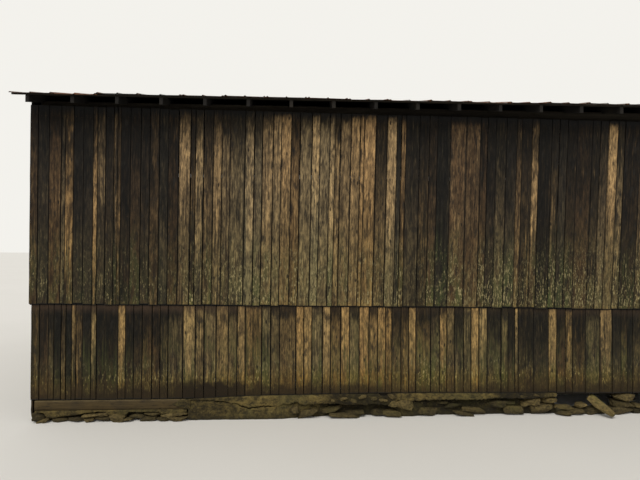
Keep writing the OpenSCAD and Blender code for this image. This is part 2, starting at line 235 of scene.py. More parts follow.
class Graph:
    """A material's node tree, with short names for the nodes that repeat."""

    def __init__(self, name):
        self.material = bpy.data.materials.new(name)
        self.material.use_nodes = True
        self.tree = self.material.node_tree
        self.tree.nodes.clear()
        self.shader = self.node("ShaderNodeBsdfPrincipled")
        output = self.node("ShaderNodeOutputMaterial")
        self.tree.links.new(self.shader.outputs[0], output.inputs[0])

    def node(self, kind, **settings):
        made = self.tree.nodes.new(kind)
        for key, value in settings.items():
            setattr(made, key, value)
        return made

    def join(self, value, socket):
        if isinstance(value, Value):
            self.tree.links.new(value.socket, socket)
        else:
            socket.default_value = value

    def math(self, operation, *values):
        made = self.node("ShaderNodeMath", operation=operation)
        for value, socket in zip(values, made.inputs):
            self.join(value, socket)
        return Value(self, made.outputs[0])

    def split(self, socket):
        made = self.node("ShaderNodeSeparateXYZ")
        self.tree.links.new(socket, made.inputs[0])
        return [Value(self, part) for part in made.outputs]

    def parts(self, name):
        """Three numbers of a vertex attribute."""
        source = self.node("ShaderNodeAttribute", attribute_type="GEOMETRY", attribute_name=name)
        return self.split(source.outputs["Vector"])

    def place(self):
        """Where a point is, in metres."""
        return self.split(self.node("ShaderNodeTexCoord").outputs["Object"])

    def vector(self, x, y, z):
        made = self.node("ShaderNodeCombineXYZ")
        for value, socket in zip((x, y, z), made.inputs):
            self.join(value, socket)
        return Value(self, made.outputs[0])

    def noise(self, vector, scale=1.0, detail=3.0, roughness=0.6):
        made = self.node("ShaderNodeTexNoise")
        sockets = {"Vector": vector, "Scale": scale, "Detail": detail, "Roughness": roughness}
        for key, value in sockets.items():
            self.join(value, made.inputs[key])
        return Value(self, made.outputs["Fac"])

    def cells(self, vector, scale=1.0):
        """How far a point is from the middle of the nearest cell."""
        made = self.node("ShaderNodeTexVoronoi")
        self.join(vector, made.inputs["Vector"])
        self.join(scale, made.inputs["Scale"])
        return Value(self, made.outputs["Distance"])

    def mix(self, share, colour, other, blend_type="MIX"):
        """Colour, with a share of the other one."""
        made = self.node("ShaderNodeMix", data_type="RGBA", blend_type=blend_type, clamp_factor=True)
        for value, k in ((share, 0), (colour, 6), (other, 7)):
            self.join((*value, 1.0) if isinstance(value, tuple) else value, made.inputs[k])
        return Value(self, made.outputs[2])

    def tint(self, colour, by, share=1.0):
        """Colour times another one, in part where share is under 1."""
        return self.mix(share, colour, by, "MULTIPLY")

    def finish(self, colour, roughness, height=None, distance=0.002, strength=0.6, gloss=0.25):
        self.join(colour, self.shader.inputs["Base Color"])
        self.join(roughness, self.shader.inputs["Roughness"])
        self.join(gloss, self.shader.inputs["Specular IOR Level"])
        if height is not None:
            bump = self.node("ShaderNodeBump")
            for value, key in ((strength, "Strength"), (distance, "Distance"), (height, "Height")):
                self.join(value, bump.inputs[key])
            self.tree.links.new(bump.outputs[0], self.shader.inputs["Normal"])
        return self.material


# Boards' wood, each look a function of the graph and the colour so far

class BoardGraph(Graph):
    """Node tree of a board, with its vertex attributes and the noises that several looks share."""

    def __init__(self, name):
        super().__init__(name)
        self.across, self.up, self.down = self.parts("place")
        self.tone, self.tan_share, self.rim = self.parts("look")
        self.reach, self.tan_foot, self.moss = self.parts("wear")
        self.edge, self.warmth, self.seed = self.parts("board")
        self.splash, self.flecks, _ = self.parts("foot")
        self.shift = self.seed * 53.0
        self.aside = self.across * 38.0 + self.shift
        self.streak = self.noise(self.strands(1.0, 1.0), roughness=0.55)
        self.thread = self.noise(self.strands(2.3, 1.7))
        self.grain = self.noise(self.strands(6.0, 5.0))
        self.patch = self.noise(self.spots(9.0, 2.3), detail=4.0)

    def strands(self, fine, tall):
        """Places for noise in lines that run up the board."""
        return self.vector(self.aside * fine, self.shift, self.up * tall)

    def spots(self, wide, tall):
        """Places for noise in spots, with their number to the metre."""
        return self.vector(self.across * wide + self.shift, self.shift, self.up * tall)

    def chance(self, k):
        """A number from 0 to 1 of the board's own."""
        return self.math("FRACT", self.seed * k)


def grey_wood(g, dark, light):
    """Grey-brown streaks, darker or lighter by the board's tone, and redder where it is warm."""
    shade = (g.patch - 0.5) * 1.1 + (g.streak - 0.5) * 1.3 + (g.thread - 0.5) * 1.3 + g.tone
    return g.mix(g.warmth * 0.5, g.mix(shade.step(0.0, 1.0), dark, light), (0.098, 0.058, 0.03))


def sound_wood(g, colour, tan):
    """Tan wood that is still sound, from the tan's foot up and along one edge. Gives its share as well."""
    side = g.edge * g.seed.step(0.49, 0.51, -1.0, 1.0)
    lit_edge = side.step(0.35, 0.9) * g.chance(7.0).step(0.35, 0.9)
    share = g.math("MAXIMUM", g.tan_share, lit_edge * 0.42)
    bare = (g.up + (g.streak - 0.5) * 2.2).step(g.tan_foot - 0.5, g.tan_foot + 0.7)
    bare = bare * ((g.streak - 0.5) * 1.6 + (g.thread - 0.5) * 1.4 + share).step(0.18, 0.85)
    bare = bare * share.step(0.0, 1.0) * g.patch.step(0.18, 0.5, 0.35, 1.0)
    aged = tuple(v * w for v, w in zip(tan, (0.74, 0.76, 0.84)))
    return bare, g.mix(bare, colour, g.mix(g.seed, tan, aged))


def mottled(g, colour, bare, run):
    """Grain, threads and blotches, and a warmer or colder cast from board to board."""
    mottle = g.noise(g.spots(58.0, run), detail=4.0, roughness=0.7)
    cloudy = g.noise(g.spots(26.0, 6.5))
    for share, low, high in ((g.grain, (0.5, 0.5, 0.5), (1.5, 1.48, 1.42)),
                             (g.thread, (0.62, 0.62, 0.62), (1.36, 1.35, 1.32)),
                             (mottle.step(0.32, 0.68), (0.5, 0.5, 0.52), (1.52, 1.5, 1.44)),
                             (cloudy.step(0.34, 0.66), (0.62, 0.62, 0.64), (1.4, 1.38, 1.33))):
        colour = g.tint(colour, g.mix(share, low, high))
    cast = g.mix(g.chance(13.0), (1.1, 0.97, 0.82), (0.9, 1.02, 1.14))
    return g.tint(colour, cast, 1.0 - bare * 0.6)


def algae(g, colour, green):
    """Green growth low down, more of it on some boards."""
    growth = (g.up + g.streak * 0.8).step(1.9, 0.4) * g.patch.step(0.36, 0.62)
    return g.mix(growth * g.moss * g.chance(29.0).step(0.35, 0.8, 0.35, 0.9), colour, green)


def black_drips(g, colour):
    """Black that runs down from the top, about as far as reach says. Gives its share as well."""
    drip = 1.35 - g.down / g.reach + (g.streak - 0.5) * 2.4 + (g.patch - 0.5) * 1.9 + (g.thread - 0.5) * 1.7
    drip = drip.step(0.05, 0.95)
    gaps = g.noise(g.spots(42.0, 4.0)).step(0.5, 0.7, 1.0, 0.55)
    return drip, g.tint(colour, (0.1, 0.104, 0.108), drip * (0.66 + g.patch * 0.62) * gaps)


def blots_and_knots(g, colour):
    blots = g.noise(g.spots(17.0, 5.5), roughness=0.55).step(0.57, 0.7)
    knots = g.cells(g.spots(9.0, 4.0)).step(0.17, 0.07, 0.0, 0.9) * g.patch.step(0.4, 0.5)
    return g.mix(knots, g.mix(blots * 0.75, colour, (0.013, 0.011, 0.009)), (0.009, 0.007, 0.005))


def lichen(g, colour, drip, belt):
    """Pale flecks in a belt over the foot, fewer where the wood is black."""
    speck = g.noise(g.vector(g.across * 58.0, g.shift, g.up * 15.0), roughness=0.65)
    near = g.flecks * g.up.step(0.45, 0.0, 0.6, 1.0)
    share = (speck + near * 0.06).step(0.57, 0.66) * g.up.step(belt, 0.25 * belt) * g.up.step(0.0, 0.05)
    share = share * (g.patch + near * 0.1).step(0.36, 0.58) * drip.step(0.5, 0.0, 0.25, 1.0)
    return g.mix(share * g.moss * 0.9, colour, (0.31, 0.256, 0.142))


def cracks_and_grime(g, colour):
    """Drying cracks, and grime along the edges. Gives the cracks' share as well."""
    crack = g.noise(g.strands(8.5, 1.6), detail=1.0, roughness=0.5).step(0.36, 0.27)
    grime = (abs(g.edge) + (g.thread - 0.5) * 0.22).step(0.86, 0.99)
    colour = g.mix(crack * 0.6, colour, (0.0085, 0.0085, 0.008))
    return crack, g.mix(grime * 0.85, colour, (0.008, 0.007, 0.006))


def board_wood(name, dark, light, tan, green, belt, run):
    """What both courses share: the graph, its colour and its height."""
    g = BoardGraph(name)
    bare, colour = sound_wood(g, grey_wood(g, dark, light), tan)
    drip, colour = black_drips(g, algae(g, mottled(g, colour, bare, run), green))
    crack, colour = cracks_and_grime(g, lichen(g, blots_and_knots(g, colour), drip, belt))
    return g, colour, g.grain * 0.5 + g.streak + g.thread * 0.5 - crack * 0.9


def upper_boards_wood():
    """Upper course: sound down to its feet, and black under the eave from black stain and painted shade of
    the eave.
    """
    g, colour, height = board_wood("upper_board_wood", (0.0135, 0.011, 0.0075), (0.156, 0.115, 0.063),
                                   (0.3, 0.201, 0.098), (0.048, 0.058, 0.021), 1.25, 9.0)
    colour = g.tint(colour, (1.0, 1.0, 0.86), g.up.step(1.9, 0.3))
    # Near black over the top 16 cm: black stain, and painted shadow of the eave.
    colour = g.mix(g.down.step(0.16, 0.0, 0.0, 0.9), colour, (0.006, 0.006, 0.006))
    colour = g.tint(colour, (1.22, 1.19, 1.08), g.up.step(0.075, 0.025))
    colour = g.mix(g.up.step(0.01, 0.002, 0.0, 0.9), colour, (0.01, 0.009, 0.008))
    return g.finish(colour, 0.9, height, 0.003, 0.7)


def lower_boards_wood():
    """Lower course: near black just under the lap from painted shadow and dirt, lighter below that from sound
    wood and painted light, and brown with earth at its foot.
    """
    g, colour, height = board_wood("lower_board_wood", (0.015, 0.0118, 0.007), (0.146, 0.105, 0.052),
                                   (0.285, 0.187, 0.086), (0.052, 0.059, 0.019), 0.75, 12.0)
    colour = g.tint(colour, (1.0, 1.0, 0.88))
    cloud = g.noise(g.vector(g.across * 6.0 + g.tone * 40.0, g.tone, g.up * 5.0), 1.0, 4.0, 0.65)
    rim = g.rim * (g.down + cloud * 0.16).step(0.26, 0.1)
    colour = g.mix(rim * 0.7, colour, (0.042, 0.026, 0.016))
    damp = (g.up + g.tone * 0.15).step(0.36, 0.12)
    colour = g.mix(damp * 0.6, colour, (0.036, 0.025, 0.014))
    earth = (g.up + cloud * 0.5 - g.splash * 0.16).step(0.4, 0.2)
    colour = g.mix(earth * (0.5 + g.splash * 0.4), colour, (0.0125, 0.0085, 0.0045))
    colour = g.tint(colour, (1.1, 1.0, 0.66), g.up.step(0.5, 0.15))
    colour = g.mix(g.up.step(0.022, 0.004, 0.0, 0.85), colour, (0.01, 0.009, 0.008))
    # Lighter within 13 cm under the lap: sound wood, and painted light that offsets the lap's shade.
    colour = g.tint(colour, (1.24, 1.22, 1.2), g.down.step(0.13, 0.04))
    # Near black 1 to 3 cm under the lap: painted shadow of the lap, and dirt.
    colour = g.mix(g.down.step(0.026, 0.012), colour, (0.005, 0.005, 0.005))
    return g.finish(colour, 0.9, height, 0.003, 0.7)


# Timber, masonry and metal

def timber_material(name, along, dark, light, grey=0.3, hewn=False, gloss=0.25):
    """Sawn or hewn timber, with its grain along one axis."""
    g = Graph(name)
    place = g.place()

    def drawn(long, cross):
        """Places scaled by long along the grain and by cross over it."""
        return g.vector(*[v * (long if axis == along else cross) for v, axis in zip(place, "XYZ")])

    grain = g.noise(drawn(2.6, 62.0), 1.0, 4.0, 0.62)
    wide = g.noise(drawn(0.442, 10.54), roughness=0.55)
    colour = g.mix((grain * 0.6 + wide * 0.5).step(0.32, 0.78), dark, light)
    stain = g.noise(g.vector(*place), 1.7, 4.0).step(0.5, 0.68)
    colour = g.mix(stain * (0.4 if hewn else 0.7), colour, (0.02, 0.016, 0.011))
    colour = g.mix(wide.step(0.55, 0.75) * grey, colour, (0.13, 0.115, 0.085))
    knots = g.cells(drawn(2.4 if hewn else 1.1, 6.5)).step(0.13, 0.05, 0.0, 0.85)
    colour = g.mix(knots, colour, (0.012, 0.009, 0.006))
    height = grain + wide * 0.6
    if hewn:
        wet = g.noise(g.vector(*place), 6.0, 5.0, 0.7)
        colour = g.tint(colour, g.mix(wet, (0.55, 0.55, 0.55), (1.5, 1.44, 1.36)))
        check = g.noise(drawn(3.4, 46.0), 1.0, 2.0, 0.5).step(0.35, 0.29)
        colour = g.mix(check * 0.8, colour, (0.008, 0.006, 0.004))
        spots = g.noise(drawn(9.0, 24.0)).step(0.58, 0.68)
        colour = g.mix(spots * 0.7, colour, (0.012, 0.009, 0.005))
        # Paler along the top edge: wear, and a painted highlight where the top catches the light.
        pale_share = (place[2] + wet * 0.03).step(SILL_TOP - 0.006, SILL_TOP + 0.01)
        colour = g.mix(pale_share * 0.8, colour, (0.11, 0.082, 0.038))
        height = height - check * 0.8
    return g.finish(colour, 0.86, height, 0.004, 0.7, gloss)


def masonry_material(name):
    """Parging and fieldstone told apart by an attribute: (stone share, tone, moss)."""
    g = Graph(name)
    x, y, z = g.place()
    spot = g.vector(x, y, z)
    stone, tone, moss = g.parts("kind")
    rough = g.noise(spot, 11.0, 6.0, 0.72)
    grit = g.noise(spot, 27.0, 4.0, 0.7)
    fine = g.noise(spot, 70.0, 5.0, 0.8)
    broad = g.noise(spot, 2.2, 3.0, 0.5)
    laid = g.noise(g.vector(x * 5.0, y * 5.0, z * 42.0), detail=4.0)
    pale_share = (rough * 0.5 + grit * 0.3 + laid * 0.2).step(0.4, 0.6)
    parging = g.mix(pale_share, (0.024, 0.0185, 0.0075), (0.122, 0.09, 0.03))
    parging = g.mix(broad.step(0.46, 0.62) * 0.4, parging, (0.04, 0.037, 0.016))
    shade = 0.3 + tone * 1.4
    parging = g.tint(parging, g.vector(shade, shade, shade))
    rock = g.mix(tone, (0.014, 0.0115, 0.006), (0.16, 0.122, 0.052))
    rock = g.tint(rock, g.mix(laid, (0.45, 0.45, 0.45), (1.55, 1.52, 1.45)))
    rock = g.tint(rock, g.mix(grit.step(0.36, 0.64), (0.6, 0.6, 0.62), (1.42, 1.4, 1.32)))
    colour = g.tint(g.mix(stone, parging, rock), g.mix(fine, (0.3, 0.3, 0.3), (1.72, 1.7, 1.62)))
    blots = (grit + (0.5 - tone) * 0.3).step(0.56, 0.66) * (1.0 - stone)
    colour = g.mix(blots * 0.8, colour, (0.01, 0.008, 0.0045))
    bent = (rough - 0.5) * 0.1
    holes = g.cells(g.vector(x + bent, y, z * 1.5 + bent), 26.0).step(0.24, 0.12) * rough.step(0.54, 0.42)
    colour = g.mix(holes * 0.75, colour, (0.008, 0.006, 0.004))
    chips = g.noise(g.vector(x + 7.0, y, z), 38.0).step(0.63, 0.72)
    colour = g.mix(chips * 0.45, colour, (0.21, 0.165, 0.075))
    growth = (broad * 0.6 + rough * 0.5).step(0.5, 0.72) * moss
    colour = g.mix(growth * 0.85, colour, (0.098, 0.092, 0.022))
    # Darker towards the ground: painted shade at the foot of the wall.
    colour = g.mix((z + rough * 0.1).step(0.19, 0.05, 0.0, 0.62), colour, (0.019, 0.016, 0.008))
    return g.finish(colour, 0.94, rough + grit * 0.4 + fine * 0.4 - holes * 0.5, 0.018, 0.95)


def metal_material(name):
    """Old crimped roofing: dull zinc, with streaks of rust that spread from laps and the eave."""
    g = Graph(name)
    x, y, z = g.place()
    spot = g.vector(x, y, z)
    side, along, seed = g.parts("sheet")
    shift = seed * 31.0
    runs = g.noise(g.vector(x * 16.0 + shift, along * 0.7, shift), 1.0, 5.0, 0.65)
    broad = g.noise(spot, 1.3, 5.0)
    fine = g.noise(spot, 34.0, 5.0, 0.7)
    zinc = g.mix((broad * 0.5 + seed * 0.5).step(0.2, 0.8), (0.155, 0.155, 0.15), (0.34, 0.335, 0.32))
    rust_colour = g.mix(fine.step(0.35, 0.7), (0.05, 0.022, 0.011), (0.215, 0.082, 0.032))
    rust = runs * 0.8 + broad * 0.7 + seed * 0.22
    rust = rust + abs(side).step(0.8, 1.0, 0.0, 0.16) + along.step(0.55, 0.0, 0.0, 0.2)
    rust = rust.step(0.88, 1.16)
    dirt = g.noise(spot, 5.0, 4.0).step(0.5, 0.75)
    colour = g.mix(dirt * 0.5, g.mix(rust, zinc, rust_colour), (0.045, 0.042, 0.032))
    g.join(rust.step(0.0, 1.0, 0.55, 0.0), g.shader.inputs["Metallic"])
    return g.finish(colour, rust.step(0.0, 1.0, 0.52, 0.9), broad + fine * 0.15, 0.006, 0.5)


def nail_material(name):
    g = Graph(name)
    rust = g.noise(g.vector(*g.place()), 120.0)
    return g.finish(g.mix(rust, (0.02, 0.014, 0.01), (0.085, 0.04, 0.02)), 0.8)


def timbers(kind, axes, *more):
    """A timber for each axis that its grain runs along."""
    return {axis: timber_material(f"{kind}_timber_{axis.lower()}", axis, *more) for axis in axes}


upper_wood = upper_boards_wood()
lower_wood = lower_boards_wood()
frame_wood = timbers("frame", "XYZ", (0.034, 0.025, 0.015), (0.12, 0.088, 0.05))
# Near-black wood for the plates, battens and front rails: black stain, and painted shade of the eave and of
# the gap under the front wall.
stained_shaded_eave_wood = timbers("eave", "X", (0.006, 0.005, 0.004), (0.022, 0.018, 0.013), 0.1, False, 0.1)["X"]
# Rafters near black: stain, and painted shade of the open eave.
stained_shaded_rafter_wood = timber_material("rafter_timber", "Y", (0.0035, 0.003, 0.0028), (0.012, 0.01, 0.008), 0.05)
sill_wood = timbers("sill", "XY", (0.029, 0.02, 0.008), (0.072, 0.05, 0.019), 0.1, True)
masonry = masonry_material("old_masonry")
tin = metal_material("roof_tin")
nails = nail_material("old_nails")


# Boards

JOINT_LAP = 0.003   # how far the backs of shut boards reach past each other
BOARD_DATA = ("place", "look", "wear", "board", "foot")
RAGGED = 0.005   # how unevenly the boards' ends stand


def looks(tone, tan_share, tan_foot, black, moss, warmth, rim=0.0, splash=0.0, flecks=0.5):
    """A board's vertex attributes, apart from its places: shade, how tan and from what height up, how far
    down the black comes, growth, redness, brown under the lap, splashed earth and flecks."""
    return {"look": (tone, tan_share, rim), "wear": (max(0.02, black), tan_foot, moss),
            "foot": (splash, flecks, 0.0), "warmth": warmth}


def add_board(pile, wall_map, foot, top, out, look, rng, rings, shut=(0.0, 0.0), shade_line=None):
    """One board. foot and top are ((left, height), (right, height)) along the wall.

    shut is how far the back reaches past each edge, and shade_line the height that the black
    comes down from, where that isn't the board's own top.
    """
    seed = rng.random()
    chamfer = rng.uniform(0.0015, 0.003)
    thick = BOARD - rng.uniform(0.0, 0.004)
    cup = rng.uniform(-0.0016, 0.0016)
    bow, wave, wave_start, _ = [rng.uniform(-0.0012, 0.0022) for _ in range(4)]
    wear_left, wear_right = ([rng.gauss(0, 0.0011) for _ in range(rings + 1)] for _ in range(2))
    ends = list(zip(foot, top))
    points, place, board = [], [], []
    for i in range(rings + 1):
        f = i / rings
        (left, low), (right, high) = [(blend(a[0], b[0], f), blend(a[1], b[1], f)) for a, b in ends]
        left += wear_left[i]
        right += wear_right[i]
        half, middle = (right - left) / 2, (left + right) / 2
        warp = bow * math.sin(math.pi * f) + wave * math.sin(2.3 * math.pi * f + wave_start * 900)
        front = out + thick + warp
        outline = ((left - shut[0], out), (left, front - chamfer), (left + chamfer, front),
                   (middle, front + cup),
                   (right - chamfer, front), (right, front - chamfer), (right + shut[1], out))
        for s, d in outline:
            share = (s - left) / (right - left)
            foot_z, top_z = (blend(a[1], b[1], share) for a, b in (foot, top))
            z = blend(low, high, share)
            points.append(wall_map(s, d, z))
            place.append((s - middle, z - foot_z, (shade_line(s) if shade_line else top_z) - z))
            board.append(((s - middle) / half if d > out + 0.008 else 1.3, look["warmth"], seed))
    pile.add(points, tube_faces(7, rings), place=place, board=board, look=look["look"], wear=look["wear"],
             foot=look["foot"])


def split(length, rng, kept):
    """(left, right, mark) of the boards that fill a length, round the boards that are kept."""
    boards, at = [], 0.0
    for mark in list(kept) + [None]:
        left = mark[0] if mark else length
        if left - at > 0.06:
            count = max(1, round((left - at) / rng.uniform(0.125, 0.155)))
            shares = [rng.uniform(0.75, 1.3) for _ in range(count)]
            scale = (left - at) / sum(shares)
            for share in shares:
                boards.append((at, at + share * scale, None))
                at += share * scale
        if mark:
            boards.append((at, mark[1], mark))
            at = mark[1]
    return boards


def course(side, tier, wall_map, length, seed, foot, top, style, rings, lean=level(0.0), kept=(), shut=True,
           shade_line=None, joint=(0.0016, 0.0058)):
    """A course of boards. By place along the wall: their feet and tops, their looks, and how they lean."""
    rng = random.Random(seed)
    pile = Pile(*BOARD_DATA)
    out, wood = (BOARD, upper_wood) if tier == "upper" else (0.0, lower_wood)
    boards = split(length, rng, kept)
    for left, right, mark in boards:
        gap_left = rng.uniform(*joint) if left > 0 else 0
        gap_right = rng.uniform(*joint) if right < length - 1e-6 else 0
        drop, rise = rng.gauss(0, RAGGED), min(0.0, rng.gauss(0, RAGGED))
        height = top(left) - foot(left)
        top_left, top_right = (s + height * math.tan(math.radians(lean(s))) for s in (left, right))
        look = style((left + right) / 2, rng, mark)
        feet = ((left + gap_left, foot(left) + drop), (right - gap_right, foot(right) + drop))
        tops = ((top_left + gap_left, top(top_left) + rise), (top_right - gap_right, top(top_right) + rise))
        reach = (gap_left + JOINT_LAP, gap_right + JOINT_LAP) if shut else (0.0, 0.0)
        add_board(pile, wall_map, feet, tops, out, look, rng, rings, reach, shade_line)
    pile.build(f"{side}_{tier}_boards", wood, [f"{side}_{tier}_siding"])
    return boards


# Boards of the front that stand out: left and right edge along the wall, how tan,
# how far above the foot the tan ends, how far down the black comes, and tone

UPPER_MARKS = [
    (0.42, 0.48, 0.5, 0.4, 1.05, 0.45), (0.54, 0.6, 0.6, 0.4, 1.05, 0.55), (0.6, 0.74, 0.0, 1.0, 1.6, 0.15),
    (0.88, 0.94, 0.7, 0.3, 0.45, 0.6), (0.99, 1.06, 0.6, 1.6, 0.35, 0.5), (1.18, 1.23, 0.45, 1.0, 0.1, 0.4),
    (1.23, 1.28, 0.55, 0.9, 0.8, 0.45), (1.28, 1.42, 0.0, 1.0, 2.0, 0.1), (1.57, 1.7, 0.0, 1.0, 1.5, 0.25),
    (1.7, 1.84, 0.5, 0.9, 1.4, 0.45), (1.84, 1.97, 0.45, 0.3, 1.65, 0.42), (1.97, 2.12, 0.0, 1.0, 1.6, 0.35),
    (2.13, 2.3, 0.85, 1.7, 0.22, 0.5), (2.31, 2.37, 0.1, 1.0, 0.8, 0.4), (2.38, 2.49, 0.6, 0.8, 0.25, 0.55),
    (2.49, 2.63, 0.1, 1.0, 0.6, 0.5), (2.63, 2.76, 0.6, 1.3, 0.2, 0.55), (2.77, 2.88, 0.3, 1.5, 0.3, 0.48),
    (2.88, 3.1, 0.0, 1.0, 0.7, 0.48), (3.11, 3.24, 0.72, 1.0, 0.42, 0.52), (3.25, 3.36, 0.05, 1.0, 0.6, 0.42),
    (3.36, 3.52, 0.62, 1.1, 0.28, 0.55), (3.53, 3.64, 0.8, 1.85, 0.08, 0.52),
    (3.65, 3.79, 0.88, 1.8, 0.04, 0.58), (3.8, 3.92, 0.0, 1.0, 0.65, 0.4), (3.93, 4.1, 0.12, 1.0, 0.25, 0.6),
    (4.11, 4.22, 0.85, 1.5, 0.05, 0.58), (4.22, 4.37, 0.15, 1.0, 0.18, 0.58),
    (4.37, 4.45, 0.68, 0.95, 0.1, 0.58), (4.45, 4.53, 0.1, 1.0, 0.4, 0.52),
    (4.54, 4.69, 0.15, 1.0, 0.12, 0.58), (4.69, 4.83, 0.62, 1.9, 0.04, 0.62),
    (4.84, 4.89, 0.75, 1.5, 0.04, 0.58), (4.89, 5.07, 1.0, 1.65, 0.02, 0.62),
    (5.07, 5.24, 0.05, 1.0, 1.35, 0.3), (5.25, 5.39, 1.0, 1.05, 0.03, 0.6), (5.39, 5.46, 0.0, 1.0, 1.4, 0.3),
    (5.47, 5.53, 0.6, 1.6, 0.1, 0.45), (5.54, 5.74, 0.0, 1.0, 1.3, 0.25), (6.02, 6.22, 0.0, 1.0, 2.2, 0.25),
    (6.25, 6.47, 0.12, 1.0, 0.1, 0.42), (6.47, 6.69, 0.1, 1.0, 0.12, 0.4), (6.8, 6.93, 0.0, 1.0, 2.1, 0.2),
    (7.26, 7.34, 0.5, 0.0, 0.95, 0.45), (7.5, 7.61, 0.85, 1.25, 0.65, 0.4), (7.62, 7.81, 0.0, 1.0, 2.2, 0.15),
    (8.21, 8.45, 0.0, 1.0, 1.5, 0.28), (8.71, 8.86, 0.95, 1.4, 0.06, 0.55), (8.87, 8.97, 0.35, 0.4, 0.6, 0.5),
    (8.98, 9.22, 0.0, 1.0, 2.3, 0.15),
]
LOWER_MARKS = [
    (0.0, 0.12, 0.05, 0.5, 0.05, 0.36), (0.12, 0.25, 0.1, 0.5, 0.85, 0.25),
    (0.25, 0.33, 0.25, 0.3, 0.45, 0.4), (0.33, 0.43, 0.0, 0.5, 0.9, 0.22), (0.43, 0.5, 0.55, 0.3, 0.55, 0.4),
    (0.5, 0.58, 0.0, 0.5, 0.95, 0.25), (0.58, 0.64, 0.7, 0.75, 0.02, 0.45),
    (0.64, 0.74, 0.62, 0.28, 0.5, 0.4), (0.75, 0.86, 0.0, 0.5, 0.7, 0.25),
    (0.86, 0.94, 0.5, 0.45, 0.15, 0.35), (0.95, 1.25, 0.0, 0.5, 0.8, 0.25),
    (1.26, 1.36, 0.82, 0.5, 0.02, 0.5), (1.37, 1.48, 0.0, 0.5, 1.1, 0.15), (1.98, 2.2, 0.05, 0.5, 0.25, 0.36),
    (2.23, 2.38, 0.82, 0.4, 0.02, 0.55), (2.39, 2.51, 0.45, 0.35, 0.08, 0.48),
    (2.52, 2.69, 0.55, 0.2, 0.12, 0.5), (2.73, 2.87, 0.55, 0.1, 0.02, 0.5),
    (2.88, 3.0, 0.45, 0.3, 0.22, 0.48), (3.01, 3.12, 0.6, 0.3, 0.02, 0.5),
    (3.13, 3.37, 0.35, 0.6, 0.05, 0.48), (3.38, 3.5, 0.42, 0.7, 0.06, 0.46),
    (3.51, 3.63, 0.05, 0.5, 0.12, 0.44), (3.64, 3.88, 0.05, 0.5, 0.26, 0.44),
    (3.89, 4.0, 0.78, 0.25, 0.02, 0.55), (4.01, 4.12, 0.7, 0.25, 0.02, 0.52),
    (4.14, 4.28, 0.5, 0.95, 0.15, 0.42), (4.29, 4.4, 0.8, 0.25, 0.03, 0.54),
    (4.42, 4.56, 0.35, 1.0, 0.5, 0.42), (4.57, 4.69, 0.95, 0.35, 0.01, 0.6),
    (4.7, 4.84, 0.05, 0.5, 0.36, 0.46), (4.86, 4.99, 0.82, 0.2, 0.04, 0.55),
    (5.0, 5.12, 0.6, 0.55, 0.35, 0.45), (5.13, 5.24, 0.72, 0.25, 0.03, 0.52),
    (5.24, 5.34, 0.5, 0.4, 0.04, 0.5), (5.34, 5.48, 0.0, 0.5, 0.5, 0.4), (5.6, 5.71, 0.7, 0.35, 0.03, 0.52),
    (5.74, 5.94, 0.05, 0.5, 0.35, 0.42), (6.08, 6.19, 0.62, 0.25, 0.12, 0.48),
    (6.57, 6.69, 0.85, 0.3, 0.02, 0.58), (6.7, 6.82, 0.55, 0.55, 0.03, 0.48),
    (6.83, 7.04, 0.05, 0.5, 0.5, 0.4), (7.06, 7.15, 0.25, 0.6, 0.15, 0.42), (7.26, 7.31, 0.7, 0.8, 0.02, 0.5),
    (7.32, 7.55, 0.0, 0.5, 0.62, 0.36), (7.56, 7.79, 0.0, 0.5, 0.75, 0.34), (7.8, 7.92, 0.8, 0.3, 0.03, 0.52),
    (7.93, 8.06, 0.0, 0.5, 0.62, 0.32), (8.06, 8.17, 0.3, 0.4, 0.05, 0.5), (8.18, 8.38, 0.0, 0.5, 0.68, 0.32),
    (8.39, 8.61, 0.2, 0.6, 0.18, 0.38), (8.62, 8.81, 0.78, 0.85, 0.02, 0.45),
    (8.82, 8.95, 0.0, 0.5, 0.7, 0.28), (9.05, 9.14, 0.0, 0.5, 0.95, 0.22),
]


def upper_style(x, rng, mark):
    """Looks of an upper front board: dark at the left end, light in the middle, dark to the right."""
    sooty = 0.95 - 0.75 * smooth(1.7, 2.3, x) + 0.62 * smooth(5.5, 5.8, x) - 0.1 * smooth(9.3, 10.5, x)
    tone = 0.54 - 0.28 * sooty + rng.gauss(0, 0.07)
    tan_share, tan_foot = max(0.0, rng.gauss(0.15, 0.18) * (1.1 - sooty)), 1.4
    black = max(0.05, rng.gauss(0.25 + 0.75 * sooty, 0.35))
    if mark:
        tan_share, tan_foot, black, tone = mark[2:]
    tone += 0.17 * between(2.9, 3.3, 5.2, 5.5, x) - 0.17 * until(1.8, 2.3, x) - 0.05 * until(1.0, 1.4, x)
    tone -= 0.12 * between(0.5, 0.8, 1.9, 2.2, x) + 0.1 * between(2.1, 2.3, 2.7, 2.9, x)
    tone -= 0.16 * between(5.5, 5.8, 7.9, 8.5, x)
    if black > 0.3:
        black += 0.48 * between(0.5, 0.9, 2.1, 2.3, x) + 0.25 * smooth(5.6, 6.0, x)
    black += 0.2 * between(2.0, 2.15, 2.75, 2.95, x)
    warmth = max(0.0, rng.gauss(0.2, 0.2)) + (0.65 if 5.74 < x < 6.8 and tone > 0.2 else 0.0)
    growth = min(1.0, max(0.1, rng.gauss(0.72, 0.25)) + 0.2 * smooth(5.9, 6.4, x))
    flecks = 0.15 + 0.45 * smooth(1.9, 2.3, x) + 0.3 * smooth(5.9, 6.4, x)
    growth *= 0.7 + 0.3 * smooth(1.9, 2.3, x)
    return looks(tone, tan_share, tan_foot, black, growth, warmth, flecks=flecks)


# Lower front course, by place along the wall: how brown the upper ends are, and how far up earth has splashed

